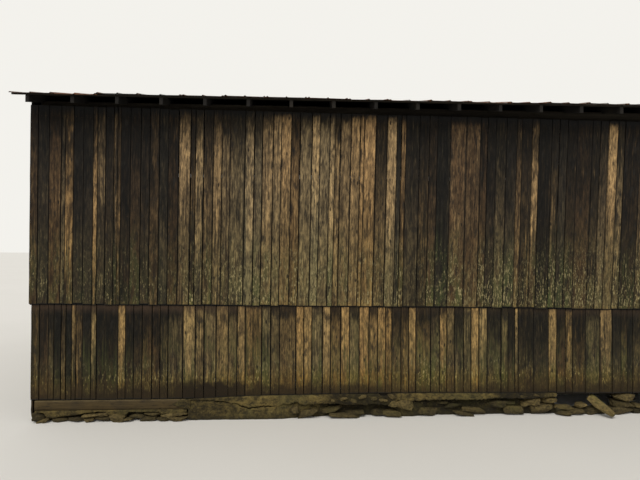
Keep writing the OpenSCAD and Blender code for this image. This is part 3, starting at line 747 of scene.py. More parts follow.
RIMS = [(0.0, 0.7), (2.2, 1.0), (3.0, 0.7), (3.6, 0.25), (6.8, 0.3), (7.2, 0.15), (8.6, 0.5)]
SPLASHES = [
    (0.0, 0.4), (0.8, 0.5), (1.1, 0.8), (2.1, 0.8), (2.3, 1.3), (2.9, 1.2), (3.2, 0.7), (4.9, 0.6),
    (5.4, 0.0), (6.4, 0.1), (7.2, 0.6), (9.0, 0.6),
]


def lower_style(x, rng, mark):
    """Looks of a lower front board: dark at the left end, light in the middle, grey to the right."""
    sooty = 0.85 - 0.8 * smooth(1.9, 2.3, x) + 0.2 * smooth(5.0, 5.7, x) + 0.4 * smooth(6.7, 7.1, x)
    tone = 0.47 - 0.18 * sooty + rng.gauss(0, 0.06)
    tan_share, tan_foot = max(0.0, rng.gauss(0.22, 0.18) * (1 - sooty)), 0.5
    black = max(0.02, rng.gauss(0.12 + 0.5 * sooty, 0.2))
    if mark:
        tan_share, tan_foot, black, tone = mark[2:]
    light = between(3.6, 3.9, 4.9, 5.3, x)
    tone += 0.15 * light - 0.14 * until(1.8, 2.3, x) - 0.04 * until(1.2, 1.4, x) - 0.05 * smooth(6.9, 7.2, x)
    black *= 1 - 0.45 * light
    if black > 0.3:
        black += 0.24 * between(6.8, 7.1, 7.8, 7.9, x) + 0.15 * until(1.2, 1.5, x)
    growth = min(1.0, max(0.1, rng.gauss(0.72, 0.25)))
    flecks = 0.45 + 0.45 * between(1.3, 1.6, 2.1, 2.4, x) - 0.2 * until(1.1, 1.4, x)
    warmth = max(0.0, rng.gauss(0.2, 0.2))
    rim, splash = follow(RIMS, x), follow(SPLASHES, x)
    return looks(tone, tan_share, tan_foot, black, growth, warmth, rim, splash, flecks)


def plain_style(scale):
    """Looks of the boards of a wall that has no picture: patches of light and of sooty boards."""
    def style(x, rng, mark):
        drift = noise.noise(Vector((x * 0.55, scale * 9.0, 0.0)))
        sooty = min(1.0, max(0.0, 0.5 + 1.3 * drift))
        tone = 0.54 - 0.22 * sooty + rng.gauss(0, 0.08)
        tan_share = max(0.0, rng.gauss(0.2, 0.2) * (1.1 - sooty))
        if rng.random() < 0.2:
            tan_share = rng.uniform(0.45, 0.9)
        black = max(0.04, rng.gauss(0.25 + 0.8 * sooty, 0.35)) * scale
        tan_foot = rng.uniform(0.4, 1.4) * scale
        growth = min(1.0, max(0.0, rng.gauss(0.6, 0.3)))
        warmth = max(0.0, rng.gauss(0.2, 0.2))
        return looks(tone, tan_share, tan_foot, black, growth, warmth, 0.5, 0.5 + drift)
    return style


# Lines of the front by place along it: the boards' feet over the footing, and how many degrees they lean

foot_line = line([(0.0, 0.323), (1.69, 0.316), (2.28, 0.314), (3.19, 0.35), (5.42, 0.366), (7.92, 0.345),
                  (8.8, 0.328), (12.2, 0.328)])
lean_line = line([(0.0, 0.0), (1.8, 0.3), (4.9, 1.1), (7.5, 1.5), (8.25, 2.2), (9.04, 2.8), (10.0, 2.3),
                  (11.2, 1.0), (12.0, 0.0)])
SEEN_AT = 1.9   # height over the lap at which the upper marks were taken
OPEN_JOINT = (0.0024, 0.007)   # what each front board leaves free at an edge


def lap_line(s):
    """Feet of the upper boards, which settle to the right and stand a little over the CAD's straight line."""
    return LEFT_LAP - SETTLED * s / FRONT_LENGTH + 0.02 - 0.014 * smooth(6.9, 8.6, s)


def eave_line(s):
    return FRONT_TOP - SETTLED * s / FRONT_LENGTH


def gable_line(s):
    return PEAK - ROOF_PITCH * abs(s - FRAME_Y - BOARD)


def marks_at_lap(marks):
    """Marks of the upper front boards, moved down their lean to the lap."""
    return [tuple(v + BOARD - SEEN_AT * math.tan(math.radians(lean_line(v))) for v in mark[:2]) + mark[2:]
            for mark in marks]


def corner_foot():
    """The left gable's foremost board, which runs on below the others down to the corner stone."""
    pile = Pile(*BOARD_DATA)
    left, right = DEEP_LENGTH - 0.15, DEEP_LENGTH - 0.002
    # Its looks are near black: black stain, and painted shade of the corner.
    add_board(pile, on_left, ((left, 0.106), (right, 0.1)), ((left, 0.32), (right, 0.32)), 0.0,
              looks(0.05, 0.0, 0.5, 2.0, 0.3, 0.0, 0.5, 1.0, 0.2), random.Random(71), 3)
    pile.build("left_corner_foot", lower_wood)


def plain_lower(side, wall_map, length, seed, lap):
    """Lower course of a wall that has no picture, black from the lap down."""
    course(side, "lower", wall_map, length, seed, level(PLAIN_FOOT), level(LAP_TOP), plain_style(0.55), 6,
           shade_line=level(lap))


lower_laid = course("front", "lower", on_front, FRONT_LENGTH, 11, foot_line, level(LAP_TOP), lower_style, 8,
                    kept=LOWER_MARKS, shut=False, shade_line=lap_line, joint=OPEN_JOINT)
upper_laid = course("front", "upper", over_front, UPPER_LENGTH, 37, lap_line, eave_line, upper_style, 14,
                    lean_line, marks_at_lap(UPPER_MARKS), False, joint=OPEN_JOINT)
corner_foot()
plain_lower("back", on_back, FRONT_LENGTH, 23, LEFT_LAP)
course("back", "upper", over_back, UPPER_LENGTH, 41, level(LEFT_LAP), level(FRONT_TOP), plain_style(1.0), 9)
plain_lower("left", on_left, DEEP_LENGTH, 53, LEFT_LAP)
plain_lower("right", on_right, DEEP_LENGTH, 59, LAP)
course("left", "upper", over_left, UPPER_DEEP, 61, level(LEFT_LAP), gable_line, plain_style(1.1), 10)
course("right", "upper", over_right, UPPER_DEEP, 67, level(LAP), gable_line, plain_style(1.1), 10)


# Masonry

STONE_CELLS = 8   # faces along each edge of a stone that stands out
HEARTING = 1.05   # how much larger than its place a stone is, so that it meets the next


def chance_planes(rng, count, near, far):
    """Planes that cut a lump flat: (normal, distance from its middle)."""
    return [(Vector([rng.gauss(0, 1) for _ in range(3)]).normalized(), rng.uniform(near, far))
            for _ in range(count)]


def chip(v, planes):
    for normal, reach in planes:
        over = v.dot(normal) - reach
        if over > 0:
            v = v - normal * over
    return v


def add_stone(pile, wall_map, centre, size, rng, tone, moss, tilt, squareness, cells=STONE_CELLS):
    """A fieldstone, a lumpy block with chipped faces. size is its length, depth and height."""
    offset = Vector((rng.uniform(0, 90), rng.uniform(0, 90), rng.uniform(0, 90)))
    planes = chance_planes(rng, 9, 0.8, 1.02)
    index, points, faces = {}, [], []

    def corner(p):
        key = tuple(round(v * 2 * cells) for v in p)
        if key not in index:
            v = Vector(p)
            ball = v.normalized() * 1.12
            v = v.lerp(ball, 1 - squareness)
            push = noise.noise(v * 1.3 + offset) * 0.22 + noise.noise(v * 3.1 + offset) * 0.08
            v = chip(v * (1 + push), planes)
            s, d, z = v.x * size[0] / 2, v.y * size[1] / 2, v.z * size[2] / 2
            s, z = s * math.cos(tilt) - z * math.sin(tilt), s * math.sin(tilt) + z * math.cos(tilt)
            index[key] = len(points)
            points.append(wall_map(centre[0] + s, centre[1] + d, max(0.0, centre[2] + z)))
        return index[key]

    for axis in range(3):
        for side in (-1.0, 1.0):
            for i in range(cells):
                for j in range(cells):
                    quad = []
                    for a, b in ((i, j), (i + 1, j), (i + 1, j + 1), (i, j + 1)):
                        p = [0.0, 0.0, 0.0]
                        p[axis] = side
                        p[(axis + 1) % 3] = 2 * a / cells - 1
                        p[(axis + 2) % 3] = 2 * b / cells - 1
                        quad.append(corner(p))
                    faces.append(tuple(quad) if side < 0 else tuple(reversed(quad)))
    pile.add(points, faces, kind=(1.0, tone, moss))


def set_stones(pile, stones, behind, deep, moss, tilt, squareness):
    """Single stones of the front: place along and up, length and height, how far out, and tone."""
    for s, z, long, tall, out, tone in stones:
        size = (long * HEARTING, deep, tall * HEARTING)
        add_stone(pile, on_front, (s, out - behind(s), z), size, stone_rng, tone, moss,
                  stone_rng.gauss(0, tilt), squareness)


def add_band(pile, wall_map, start, end, low, high, front, step, rows, seed, lump=0.012, moss=0.25,
             tone=level(0.5), back=-INNER):
    """A lumpy block of masonry. low, high, front and tone give its edges, face and shade along the wall."""
    count = max(2, round((end - start) / step))
    points, kind = [], []
    for i in range(count + 1):
        s = start + (end - start) * i / count
        bottom, top = low(s), high(s)
        kind += [(0.0, tone(s), moss)] * (rows + 3)
        points.append(wall_map(s, back, bottom))
        for j in range(rows + 1):
            f = j / rows
            z = blend(bottom, top, f)
            where = Vector((s * 3.1, z * 7.0, seed * 3.3))
            out = noise.noise(where) * lump + noise.noise(where * 3.7) * lump * 0.45
            round_off = 0.012 * (smooth(0.16, 0.0, f) + smooth(0.86, 1.0, f))
            points.append(wall_map(s, front(s) + out - round_off, z))
        points.append(wall_map(s, back, top))
    pile.add(points, tube_faces(rows + 3, count, inward=True), kind=kind)


def lay_stones(pile, wall_map, start, end, low, high, front, courses=2):
    """Courses of flat stones set in a band of mortar."""
    rng = stone_rng
    depth = 0.11
    for row in range(courses):
        s = start - rng.uniform(0.0, 0.1)
        while s < end - 0.05:
            long = min(rng.uniform(0.14, 0.42), end - s)
            middle = s + long / 2
            if middle - long / 2 < start:
                long = max(0.06, long - (start - s))
                middle = start + long / 2
            base, peak = low(middle), high(middle)
            tall = (peak - base) / courses
            centre = (middle, front(middle) - depth / 2 + rng.uniform(0.0, 0.022), base + tall * (row + 0.5))
            add_stone(pile, wall_map, centre, (long * 0.97, depth, tall * rng.uniform(0.84, 1.02)), rng,
                      rng.random(), 0.25 * rng.random() * 2, rng.gauss(0, 0.02), rng.uniform(0.6, 0.8), 5)
            s += long + rng.uniform(0.004, 0.02)


def wobble(middle, size, seed, pace=2.0):
    """An uneven line about a middle value."""
    return lambda s: middle + size * noise.noise(Vector((s * pace, seed * 5.1, 0.3)))


def ripple(s, size, pace, seed):
    return size * noise.noise(Vector((s * pace, seed, 0.0)))


ground = level(0.0)
bearing = level(SILL_BOTTOM)
stone_rng = random.Random(5)


def plain_footing(side, wall_map, first, last):
    """Foundation of a wall that the photo doesn't show, under its sill beam."""
    pile = Pile("kind")
    name = side + "_stonework"
    seed = len(name)
    add_band(pile, wall_map, first, last, ground, bearing, wobble(PROUD - 0.03, 0.01, seed), 0.03, 7, seed)
    lay_stones(pile, wall_map, first, last, ground, bearing, wobble(PROUD + 0.002, 0.006, 3))
    if side == "back":
        for end_wall, first, last in ((on_left, -PROUD, INNER),
                                      (on_right, DEEP_LENGTH - INNER, DEEP_LENGTH + PROUD)):
            lay_stones(pile, end_wall, first, last, ground, bearing, level(PROUD + 0.002))
    pile.build(name, masonry, [side + "_foundation"])


plain_footing("back", on_back, BOARD - PROUD, FRONT_LENGTH - BOARD + PROUD)
plain_footing("left", on_left, INNER, DEEP_LENGTH - INNER)
plain_footing("right", on_right, INNER, DEEP_LENGTH - INNER)

# Stones and mortar under the sill beam that is left on the front wall, with dark hollows between them

BED = [
    (0.0, 0.134), (0.2, 0.13), (0.26, 0.05), (0.34, 0.058), (0.5, 0.086), (0.66, 0.094), (0.78, 0.118),
    (0.95, 0.142), (1.08, 0.136), (1.13, 0.085), (1.38, 0.078), (1.42, 0.134), (1.6, 0.128), (1.86, 0.132),
    (1.9, 0.096), (2.1, 0.104), (2.3, 0.12),
]
LEFT_STONES = (
    (0.13, 0.072, 0.17, 0.11, 0.056, 0.2), (0.2, 0.026, 0.16, 0.048, 0.075, 0.95),
    (0.42, 0.026, 0.2, 0.046, 0.05, 0.4), (0.64, 0.03, 0.24, 0.05, 0.045, 0.28),
    (0.88, 0.088, 0.26, 0.036, 0.064, 0.8), (1.03, 0.104, 0.2, 0.034, 0.06, 0.55),
    (0.84, 0.034, 0.18, 0.06, 0.06, 0.9), (1.04, 0.05, 0.2, 0.07, 0.04, 0.3),
    (1.24, 0.06, 0.24, 0.11, 0.062, 0.72), (1.34, 0.02, 0.26, 0.036, 0.085, 0.9),
    (1.52, 0.056, 0.24, 0.08, 0.02, 0.3), (1.76, 0.094, 0.24, 0.052, 0.048, 0.55),
    (1.7, 0.036, 0.24, 0.06, 0.04, 0.38), (2.0, 0.068, 0.22, 0.12, 0.058, 0.68),
    (1.92, 0.022, 0.2, 0.04, 0.074, 0.45), (2.17, 0.03, 0.22, 0.056, 0.07, 0.88),
    (2.2, 0.098, 0.16, 0.07, 0.05, 0.5),
)


def bed_edge(s):
    """Lower edge of the mortar that the sill beam is bedded on."""
    return min(SILL_BOTTOM - 0.012, follow(BED, s) + ripple(s, 0.012, 19.0, 4.0))


def front_left_stonework():
    pile = Pile("kind")
    add_band(pile, on_front, SILL_START + 0.02, SILL_END, ground, bearing, wobble(-0.07, 0.02, 4, 3.0), 0.03,
             6, 4, 0.014, 0.1, level(0.15))
    add_band(pile, on_front, SILL_START + 0.01, SILL_END - 0.02, bed_edge, level(SILL_BOTTOM + 0.004),
             wobble(PROUD - 0.012, 0.01, 6, 3.0), 0.012, 5, 9, 0.01, 0.05, back=-0.06)
    set_stones(pile, LEFT_STONES, level(0.07), 0.2, 0.12, 0.06, 0.72)
    pile.build("front_left_stonework", masonry, ["front_left_stones"])


# Parged wall in the middle of the front, whole at its left and undercut further along. By place along it:
# tone of the lip under the boards and of the face below it, partly painted shade in their darkest stretches,
# the hole in the lip's top, the lip's lower edge, how wide the crack under it opens, and how far the face
# below stands out.

LIP_TONES = [
    (2.28, 0.26), (2.75, 0.34), (3.0, 0.62), (3.5, 0.72), (4.25, 0.7), (4.48, 0.14), (5.34, 0.1),
    (5.46, 0.66), (6.9, 0.64), (7.04, 0.04), (7.62, 0.02), (7.78, 0.5), (7.95, 0.45),
]
FACE_TONES = [
    (2.28, 0.28), (2.75, 0.36), (3.1, 0.58), (4.2, 0.5), (4.4, 0.06), (5.3, 0.02), (5.5, 0.3), (5.9, 0.08),
    (7.95, 0.04),
]
HOLE = [(5.14, 0.0), (5.18, 0.036), (5.23, 0.046), (5.27, 0.03), (5.3, 0.0)]
CRACK = [
    (SILL_END - 0.05, 0.3), (2.6, 0.29), (2.74, 0.284), (2.86, 0.262), (2.93, 0.24), (3.02, 0.236),
    (3.08, 0.208), (3.18, 0.182), (3.34, 0.192), (3.48, 0.202), (3.56, 0.186), (3.66, 0.208), (3.8, 0.222),
    (3.9, 0.255), (4.0, 0.205), (4.2, 0.225), (4.45, 0.222), (4.7, 0.196), (5.1, 0.2), (5.3, 0.185),
    (5.42, 0.262), (5.62, 0.25), (6.0, 0.262), (6.7, 0.256), (6.95, 0.276), (7.4, 0.262), (7.95, 0.285),
]
OPENING = [
    (SILL_END, 0.004), (2.6, 0.006), (2.74, 0.02), (2.86, 0.012), (2.95, 0.008), (3.06, 0.022), (3.18, 0.026),
    (3.34, 0.018), (3.48, 0.022), (3.58, 0.006), (3.74, 0.004), (3.84, 0.022), (3.94, 0.008), (4.1, 0.022),
    (4.6, 0.03), (5.2, 0.036), (5.4, 0.016), (5.7, 0.03), (7.95, 0.03),
]
LOWER_FACE = [
    (SILL_END, 0.05), (3.0, 0.05), (3.6, 0.052), (3.9, 0.005), (4.1, -0.03), (4.5, -0.085), (5.3, -0.085),
    (5.5, 0.0), (5.65, 0.01), (5.95, -0.055), (7.95, -0.06),
]
# Stones below the lip. Their low tones are partly painted shade under the lip.
PARGED_STONES = (
    (4.06, 0.07, 0.3, 0.1, 0.03, 0.4), (4.42, 0.11, 0.34, 0.09, 0.012, 0.3),
    (4.8, 0.05, 0.32, 0.08, -0.01, 0.22), (5.16, 0.07, 0.26, 0.08, -0.02, 0.15),
    (5.52, 0.18, 0.3, 0.17, 0.05, 0.55), (5.9, 0.07, 0.34, 0.11, 0.02, 0.32),
    (6.28, 0.14, 0.3, 0.09, 0.0, 0.06), (6.62, 0.07, 0.36, 0.11, 0.024, 0.5),
    (6.98, 0.17, 0.3, 0.12, 0.018, 0.13), (7.26, 0.08, 0.34, 0.12, 0.03, 0.35),
    (7.52, 0.2, 0.28, 0.11, 0.03, 0.52), (7.7, 0.09, 0.32, 0.14, 0.034, 0.4),
    (7.82, 0.23, 0.2, 0.11, 0.036, 0.6), (4.6, 0.03, 0.4, 0.06, 0.06, 0.6),
    (5.34, 0.05, 0.3, 0.09, 0.045, 0.45), (6.46, 0.03, 0.3, 0.06, 0.055, 0.55),
    (3.86, 0.12, 0.12, 0.11, 0.052, 0.35), (5.36, 0.205, 0.16, 0.09, 0.04, 0.55),
    (7.2, 0.185, 0.22, 0.07, 0.01, 0.08), (6.12, 0.205, 0.22, 0.06, 0.008, 0.12),
    (4.6, 0.3, 0.12, 0.06, 0.058, 0.62), (4.76, 0.265, 0.16, 0.07, 0.052, 0.42),
    (4.9, 0.325, 0.14, 0.055, 0.056, 0.55), (5.06, 0.29, 0.12, 0.08, 0.05, 0.34),
    (5.2, 0.265, 0.14, 0.05, 0.054, 0.6), (5.34, 0.32, 0.13, 0.07, 0.054, 0.4),
    (4.46, 0.26, 0.1, 0.06, 0.056, 0.5), (7.12, 0.31, 0.14, 0.05, 0.06, 0.3),
    (7.36, 0.3, 0.18, 0.06, 0.056, 0.22), (7.58, 0.315, 0.14, 0.05, 0.058, 0.36),
)


def lip_top(s):
    return foot_line(s) - 0.003 - follow(HOLE, s)


def lip_edge(s):
    return follow(CRACK, s) + ripple(s, 0.016, 9.0, 2.0) + ripple(s, 0.013, 31.0, 5.0)


def lip_face(s):
    """How far the lip stands out, a little less over the deepest undercut."""
    return wobble(PROUD - 0.006, 0.008, 12, 3.0)(s) - 0.016 * between(4.45, 4.6, 5.32, 5.44, s)


def under_lip(s):
    """Top of the face below the lip."""
    return min(0.3, lip_edge(s) - follow(OPENING, s) + ripple(s, 0.006, 23.0, 8.0))


def front_parged_wall():
    pile = Pile("kind")
    add_band(pile, on_front, SILL_END + 0.004, PARGING_END - 0.01, lip_edge, lip_top, lip_face, 0.011, 10, 21,
             0.01, 0.12, line(LIP_TONES))
    add_band(pile, on_front, SILL_END + 0.004, PARGING_END, ground, under_lip, line(LOWER_FACE), 0.014, 9, 33,
             0.018, 0.2, line(FACE_TONES))
    set_stones(pile, PARGED_STONES, lambda s: 0.085 if s < 5.4 else 0.105, 0.22, 0.3, 0.06, 0.7)
    pile.build("front_parged_wall", masonry, ["front_foundation"])


SMEAR_START = 2.05
SMEAR_LOW = [(2.05, 0.238), (2.12, 0.205), (2.2, 0.182), (2.3, 0.166)]
SMEAR_HIGH = [(2.05, 0.246), (2.1, 0.27), (2.16, 0.3), (2.24, 0.306), (2.3, 0.308)]


def front_mortar_smear():
    """Mortar smeared over the end of the sill beam."""
    pile = Pile("kind")
    add_band(pile, on_front, SMEAR_START, SILL_END + 0.03,
             lambda s: follow(SMEAR_LOW, s) + ripple(s, 0.012, 33.0, 1.0),
             lambda s: min(SILL_TOP - 0.001, follow(SMEAR_HIGH, s) + ripple(s, 0.012, 33.0, 6.0)),
             lambda s: 0.044 + 0.014 * smooth(SMEAR_START, 2.28, s), 0.009, 6, 61, 0.006, 0.1,
             level(0.3), 0.0)
    pile.build("front_mortar_smear", masonry)


def front_right_stonework():
    """The same wall beyond the gap, to the right-hand corner."""
    pile = Pile("kind")
    end = FRONT_LENGTH - BOARD + PROUD
    add_band(pile, on_front, RESTART, end - 0.004, wobble(0.225, 0.02, 7, 2.6),
             lambda s: foot_line(s) - 0.003 if s < FRONT_LENGTH else SILL_TOP,
             wobble(PROUD - 0.004, 0.008, 14, 3.0), 0.018, 7, 41, 0.01, 0.2,
             lambda s: 0.5 + ripple(s, 0.25, 1.3, 3.0))
    add_band(pile, on_front, RESTART, end - 0.02, ground, level(0.205), wobble(0.018, 0.012, 15), 0.022,
             8, 43, 0.014)
    lay_stones(pile, on_front, RESTART, end, ground, level(0.21), wobble(0.048, 0.008, 16))
    lay_stones(pile, on_right, 0.01 - PROUD, INNER, ground, level(SILL_TOP - 0.01), level(PROUD - 0.002), 3)
    pile.build("front_right_stonework", masonry, ["front_right_foundation"])


RUBBLE_STONES = (
    (8.06, 0.1, 0.26, 0.08, 0.02, 0.45), (8.33, 0.13, 0.17, 0.05, 0.03, 0.8),
    (8.2, 0.045, 0.3, 0.08, 0.06, 0.5), (8.52, 0.06, 0.24, 0.08, 0.02, 0.35),
    (8.7, 0.07, 0.2, 0.06, -0.02, 0.6), (9.3, 0.1, 0.24, 0.07, 0.01, 0.45),
    (9.44, 0.05, 0.22, 0.08, 0.04, 0.5), (8.02, 0.03, 0.2, 0.055, 0.085, 0.62),
)


def front_rubble_stones():
    """Fallen masonry in the gaps on both sides of the pier."""
    pile = Pile("kind")
    for first, last in ((PARGING_END, PIER_START), (PIER_END, RESTART)):
        add_band(pile, on_front, first + 0.004, last - 0.004, ground, wobble(0.07, 0.035, 18 + first, 5.0),
                 wobble(0.01, 0.02, 19, 4.0), 0.02, 5, 51, 0.016, 0.2, level(0.25))
    set_stones(pile, RUBBLE_STONES, level(0.07), 0.2, 0.2, 0.1, 0.7)
    pile.build("front_rubble_stones", masonry, ["front_rubble"])


# Dry stones that the third post stands on: share of the pier's width, foot, head, how far out, tone, how far
# they have slipped along, and squareness

PIER_STONES = (
    (1.0, 0.0, 0.11, 0.0, 0.36, 0.0, 0.84),
    (0.86, 0.112, 0.206, -0.02, 0.28, 0.02, 0.84),
    (0.76, 0.211, SILL_TOP, -0.004, 0.46, 0.02, 0.93),
)


def front_flat_stones():
    pile = Pile("kind")
    middle, long = (PIER_START + PIER_END) / 2, PIER_END - PIER_START
    for share, low, high, out, tone, slip, square in PIER_STONES:
        add_stone(pile, on_front, (middle + slip, (PROUD - INNER) / 2 + out, (low + high) / 2),
                  (long * share, PROUD + INNER, high - low), stone_rng, tone, 0.1, 0.0, square, 10)
    pile.build("front_flat_stones", masonry, ["front_stone_pier"])


STONE_LENGTH, STONE_THICK = 0.434, 0.13
STONE_RISE, STONE_SWING = math.radians(29.1), math.radians(38.0)
STONE_SWELLS = [(0.0, 0.7), (0.04, 0.88), (0.15, 0.94), (0.4, 1.0), (0.8, 1.0), (0.95, 0.96), (1.0, 0.84)]


def leaning_fieldstone():
    """Long stone that leans out of the gap, its head under the lowest rail."""
    flat = Vector((math.cos(STONE_SWING), math.sin(STONE_SWING), 0.0))
    axis = Vector((-flat.y * math.cos(STONE_RISE), flat.x * math.cos(STONE_RISE), math.sin(STONE_RISE)))
    above = flat.cross(axis).normalized()
    lowest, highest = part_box("leaning_stone")
    head = Vector((LEFT + blend(PARGING_END, PIER_START, 0.64), RAIL / 2 - FRAME_Y, SILL_TOP))
    toe = head - above * 0.43 * STONE_THICK - axis * STONE_LENGTH
    planes = chance_planes(random.Random(4), 14, 0.86, 1.08)
    sections, sides = 22, 24
    points = []
    for i in range(sections + 1):
        f = i / sections
        for k in range(sides):
            a = 2 * math.pi * k / sides
            x, y = math.cos(a), math.sin(a)
            square = 1.0 / max(abs(x), abs(y)) ** 0.8
            lump = 1 + 0.12 * noise.noise(Vector((x * 1.3, y * 1.3, f * 4.0)))
            lump += 0.06 * noise.noise(Vector((x * 4.0, y * 4.0, f * 15.0)))
            size = follow(STONE_SWELLS, f) * square * lump * 0.93
            cut = chip(Vector((x * size, y * size, (f - 0.5) * 2.2)), planes) * STONE_THICK / 2
            p = toe + axis * (STONE_LENGTH * blend(0.006, 0.994, f)) + flat * cut.x
            p += above * (cut.y * (0.84 + 0.12 * f))
            points.append(tuple(max(lo, min(hi, v)) for v, lo, hi in zip(p, lowest, highest)))
    pile = Pile("kind")
    pile.add(points, turned(tube_faces(sides, sections)), kind=(1.0, 0.95, 1.0))
    pile.build("leaning_fieldstone", masonry, ["leaning_stone"], True)


front_left_stonework()
front_parged_wall()
front_mortar_smear()
front_right_stonework()
front_rubble_stones()
front_flat_stones()
leaning_fieldstone()


# Sill beams, worn along their edges

AXE_WEAR = 0.006   # how deep the dents of a hewn beam are


def sill_beam(name, along):
    """A squared beam that is rounded and uneven, as an axe leaves it."""
    low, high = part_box(name)
    seed = len(name) * 1.7
    size = [high[k] - low[k] for k in range(3)]
    count = round(size[along] / 0.05)
    u, v = [k for k in range(3) if k != along]
    corners = ((0, 0), (1, 0), (1, 1), (0, 1))
    outline = [(blend(a[0], b[0], i / 4), blend(a[1], b[1], i / 4))
               for a, b in zip(corners, corners[1:] + corners[:1]) for i in range(4)]
    points = []
    for i in range(count + 1):
        for p, q in outline:
            at = [0.0, 0.0, 0.0]
            at[along] = low[along] + size[along] * (i / count)
            x, y = 2 * p - 1, 2 * q - 1
            pull = 1 - 0.06 * (abs(x) * abs(y)) ** 3
            where = Vector((at[along] * 2.3, p * 2.1 + seed, q * 2.1))
            dent = abs(noise.noise(where)) * AXE_WEAR + abs(noise.noise(where * 4.0)) * AXE_WEAR * 0.5
            for axis, aside in ((u, x * pull), (v, y * pull)):
                at[axis] = low[axis] + size[axis] * (aside + 1) / 2 - dent * aside
            points.append(tuple(at))
    faces = tube_faces(len(outline), count)
    pile = Pile()
    pile.add(points, faces if along == 0 else turned(faces))
    pile.build(name + "_beam", sill_wood["XY"[along]], [name], True)


for name, along in (("front_sill", 0), ("back_sill", 0), ("left_sill", 1), ("right_sill", 1)):
    sill_beam(name, along)


# Roof sheets

SHEETS = 21
TIN = 0.0012   # thickness of the sheet metal
SIDE_LAP = 0.018   # how far a sheet reaches over each of its neighbours
OUTER_CRIMP = 0.022   # from a sheet's edge to the middle of its outer crimps
CRIMP = ((-0.016, 0.0), (-0.006, 0.0105), (0.0, 0.0135), (0.006, 0.0105), (0.016, 0.0))
UNDER_RIDGE = 0.0093   # from the top of the CAD's sheets down to a line just over the battens
CURL_REACH = 0.1   # share of a sheet's length over which its eave curls up


def sheet_profile(cover, left, right):
    """(place, height) points across a sheet with its three crimps."""
    profile = [(left, 0.0), (cover + right, 0.0)]
    profile += [(cover * f, 0.0) for f in (0.16, 0.3, 0.4, 0.62, 0.74, 0.86)]
    for centre in (OUTER_CRIMP, cover / 2, cover - OUTER_CRIMP):
        profile += [(centre + aside, rise) for aside, rise in CRIMP]
    return sorted(profile)


def slab_faces(n, rows):
    """Faces of a sheet of two layers of points, n points across and rows of faces long."""
    half = n * (rows + 1)
    faces = []
    for r in range(rows):
        for k in range(n - 1):
            a = r * n + k
            quad = (a, a + n, a + n + 1, a + 1)
            faces += [quad, tuple(half + v for v in reversed(quad))]
        a, b = r * n, r * n + n - 1
        faces += [(a, half + a, half + a + n, a + n), (b, b + n, half + b + n, half + b)]
    for k in range(n - 1):
        a = k + rows * n
        faces += [(k, k + 1, half + k + 1, half + k), (a, half + a, half + a + 1, a + 1)]
    return faces


def roof_sheets(name, side, node, seed):
    """Crimped sheets of one slope, each lapping the next, with a worn and uneven eave."""
    rng = random.Random(seed)
    lo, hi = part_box(node)
    cover = (hi[0] - lo[0]) / SHEETS
    shares = [0.0, 0.0062, 0.014] + [k / 24 for k in range(1, 25)]
    eave_y = max(abs(lo[1]), abs(hi[1]))
    pile = Pile("sheet")
    for i in range(SHEETS):
        profile = sheet_profile(cover, -SIDE_LAP if i else 0.0, SIDE_LAP if i < SHEETS - 1 else 0.0)
        runs = [eave_y * (1 - f) for f in shares]
        runs[0] -= abs(rng.gauss(0, 0.006))
        runs[-1] += 0.012
        tilt = rng.gauss(0, 1.0)
        bend = rng.uniform(-0.01, 0.016)
        shade = rng.random()
        points, data = [], []
        for layer in (0, 1):
            for f, run in zip(shares, runs):
                for p, h in profile:
                    x = lo[0] + i * cover + p
                    wave = abs(noise.noise(Vector((x * 1.3, run * 1.5, seed)))) * 0.003
                    curl = bend + 0.016 * noise.noise(Vector((x * 0.75, 9.0, seed)))
                    curl += 0.004 * tilt * (p / cover - 0.5)
                    curl *= smooth(CURL_REACH if curl > 0 else 0.006, 0.0, f)
                    z = hi[2] - UNDER_RIDGE - run * ROOF_PITCH + h + wave + curl + TIN * (i % 2 + layer)
                    points.append((min(hi[0], max(lo[0], x)), side * run, z))
                    data.append((2 * p / cover - 1, eave_y - run, shade))
        faces = slab_faces(len(profile), len(shares) - 1)
        pile.add(points, faces if side < 0 else turned(faces), sheet=data)
    pile.build(name, tin, [node])


def ridge_cap_tin():
    """Ridge cap: bent lengths that lap each other."""
    pieces, steps, lap = 5, 22, 0.06
    length = (cap_hi[0] - cap_lo[0]) / pieces
    wing = cap_hi[1]
    bends = ((-wing, 0.0), (-wing * 0.55, 0.0), (-0.03, 0.0), (-0.012, 0.001), (0, 0.003), (0.012, 0.001),
             (0.03, 0.0), (wing * 0.55, 0.0), (wing, 0.0))
    n = len(bends)
    rng = random.Random(14)
    pile = Pile("sheet")
    for i in range(pieces):
        start = cap_lo[0] + i * length - (lap if i else 0.0)
        end = cap_lo[0] + (i + 1) * length
        points = []
        for j in range(steps + 1):
            x = start + (end - start) * j / steps
            for y, drop in bends:
                curl = 0.002 * abs(noise.noise(Vector((x * 2.0, y * 6, 4.0)))) if abs(y) == wing else 0.0
                points.append((x, y, cap_hi[2] - abs(y) * ROOF_PITCH - drop + 0.002 * (i % 2) - 0.001 - curl))
        faces = [(a, a + n, a + n + 1, a + 1) for j in range(steps) for a in range(j * n, j * n + n - 1)]
        pile.add(points, faces, sheet=(0.0, 1.0, rng.random()))
    cap = pile.build("ridge_cap_tin", tin, ["ridge_cap"])
    thickness = cap.modifiers.new("thickness", "SOLIDIFY")
    thickness.thickness = TIN
    thickness.offset = 0.0


roof_sheets("front_roof_tin", -1, "front_roof_sheets", 3)
roof_sheets("back_roof_tin", 1, "back_roof_sheets", 8)
ridge_cap_tin()


# Nail heads

NAIL_RADIUS, NAIL_SIDES = 0.0045, 7
SILL_NAILS, RAIL_NAILS, PLATE_NAILS = 0.395, 3.01, 4.49   # heights of the rows


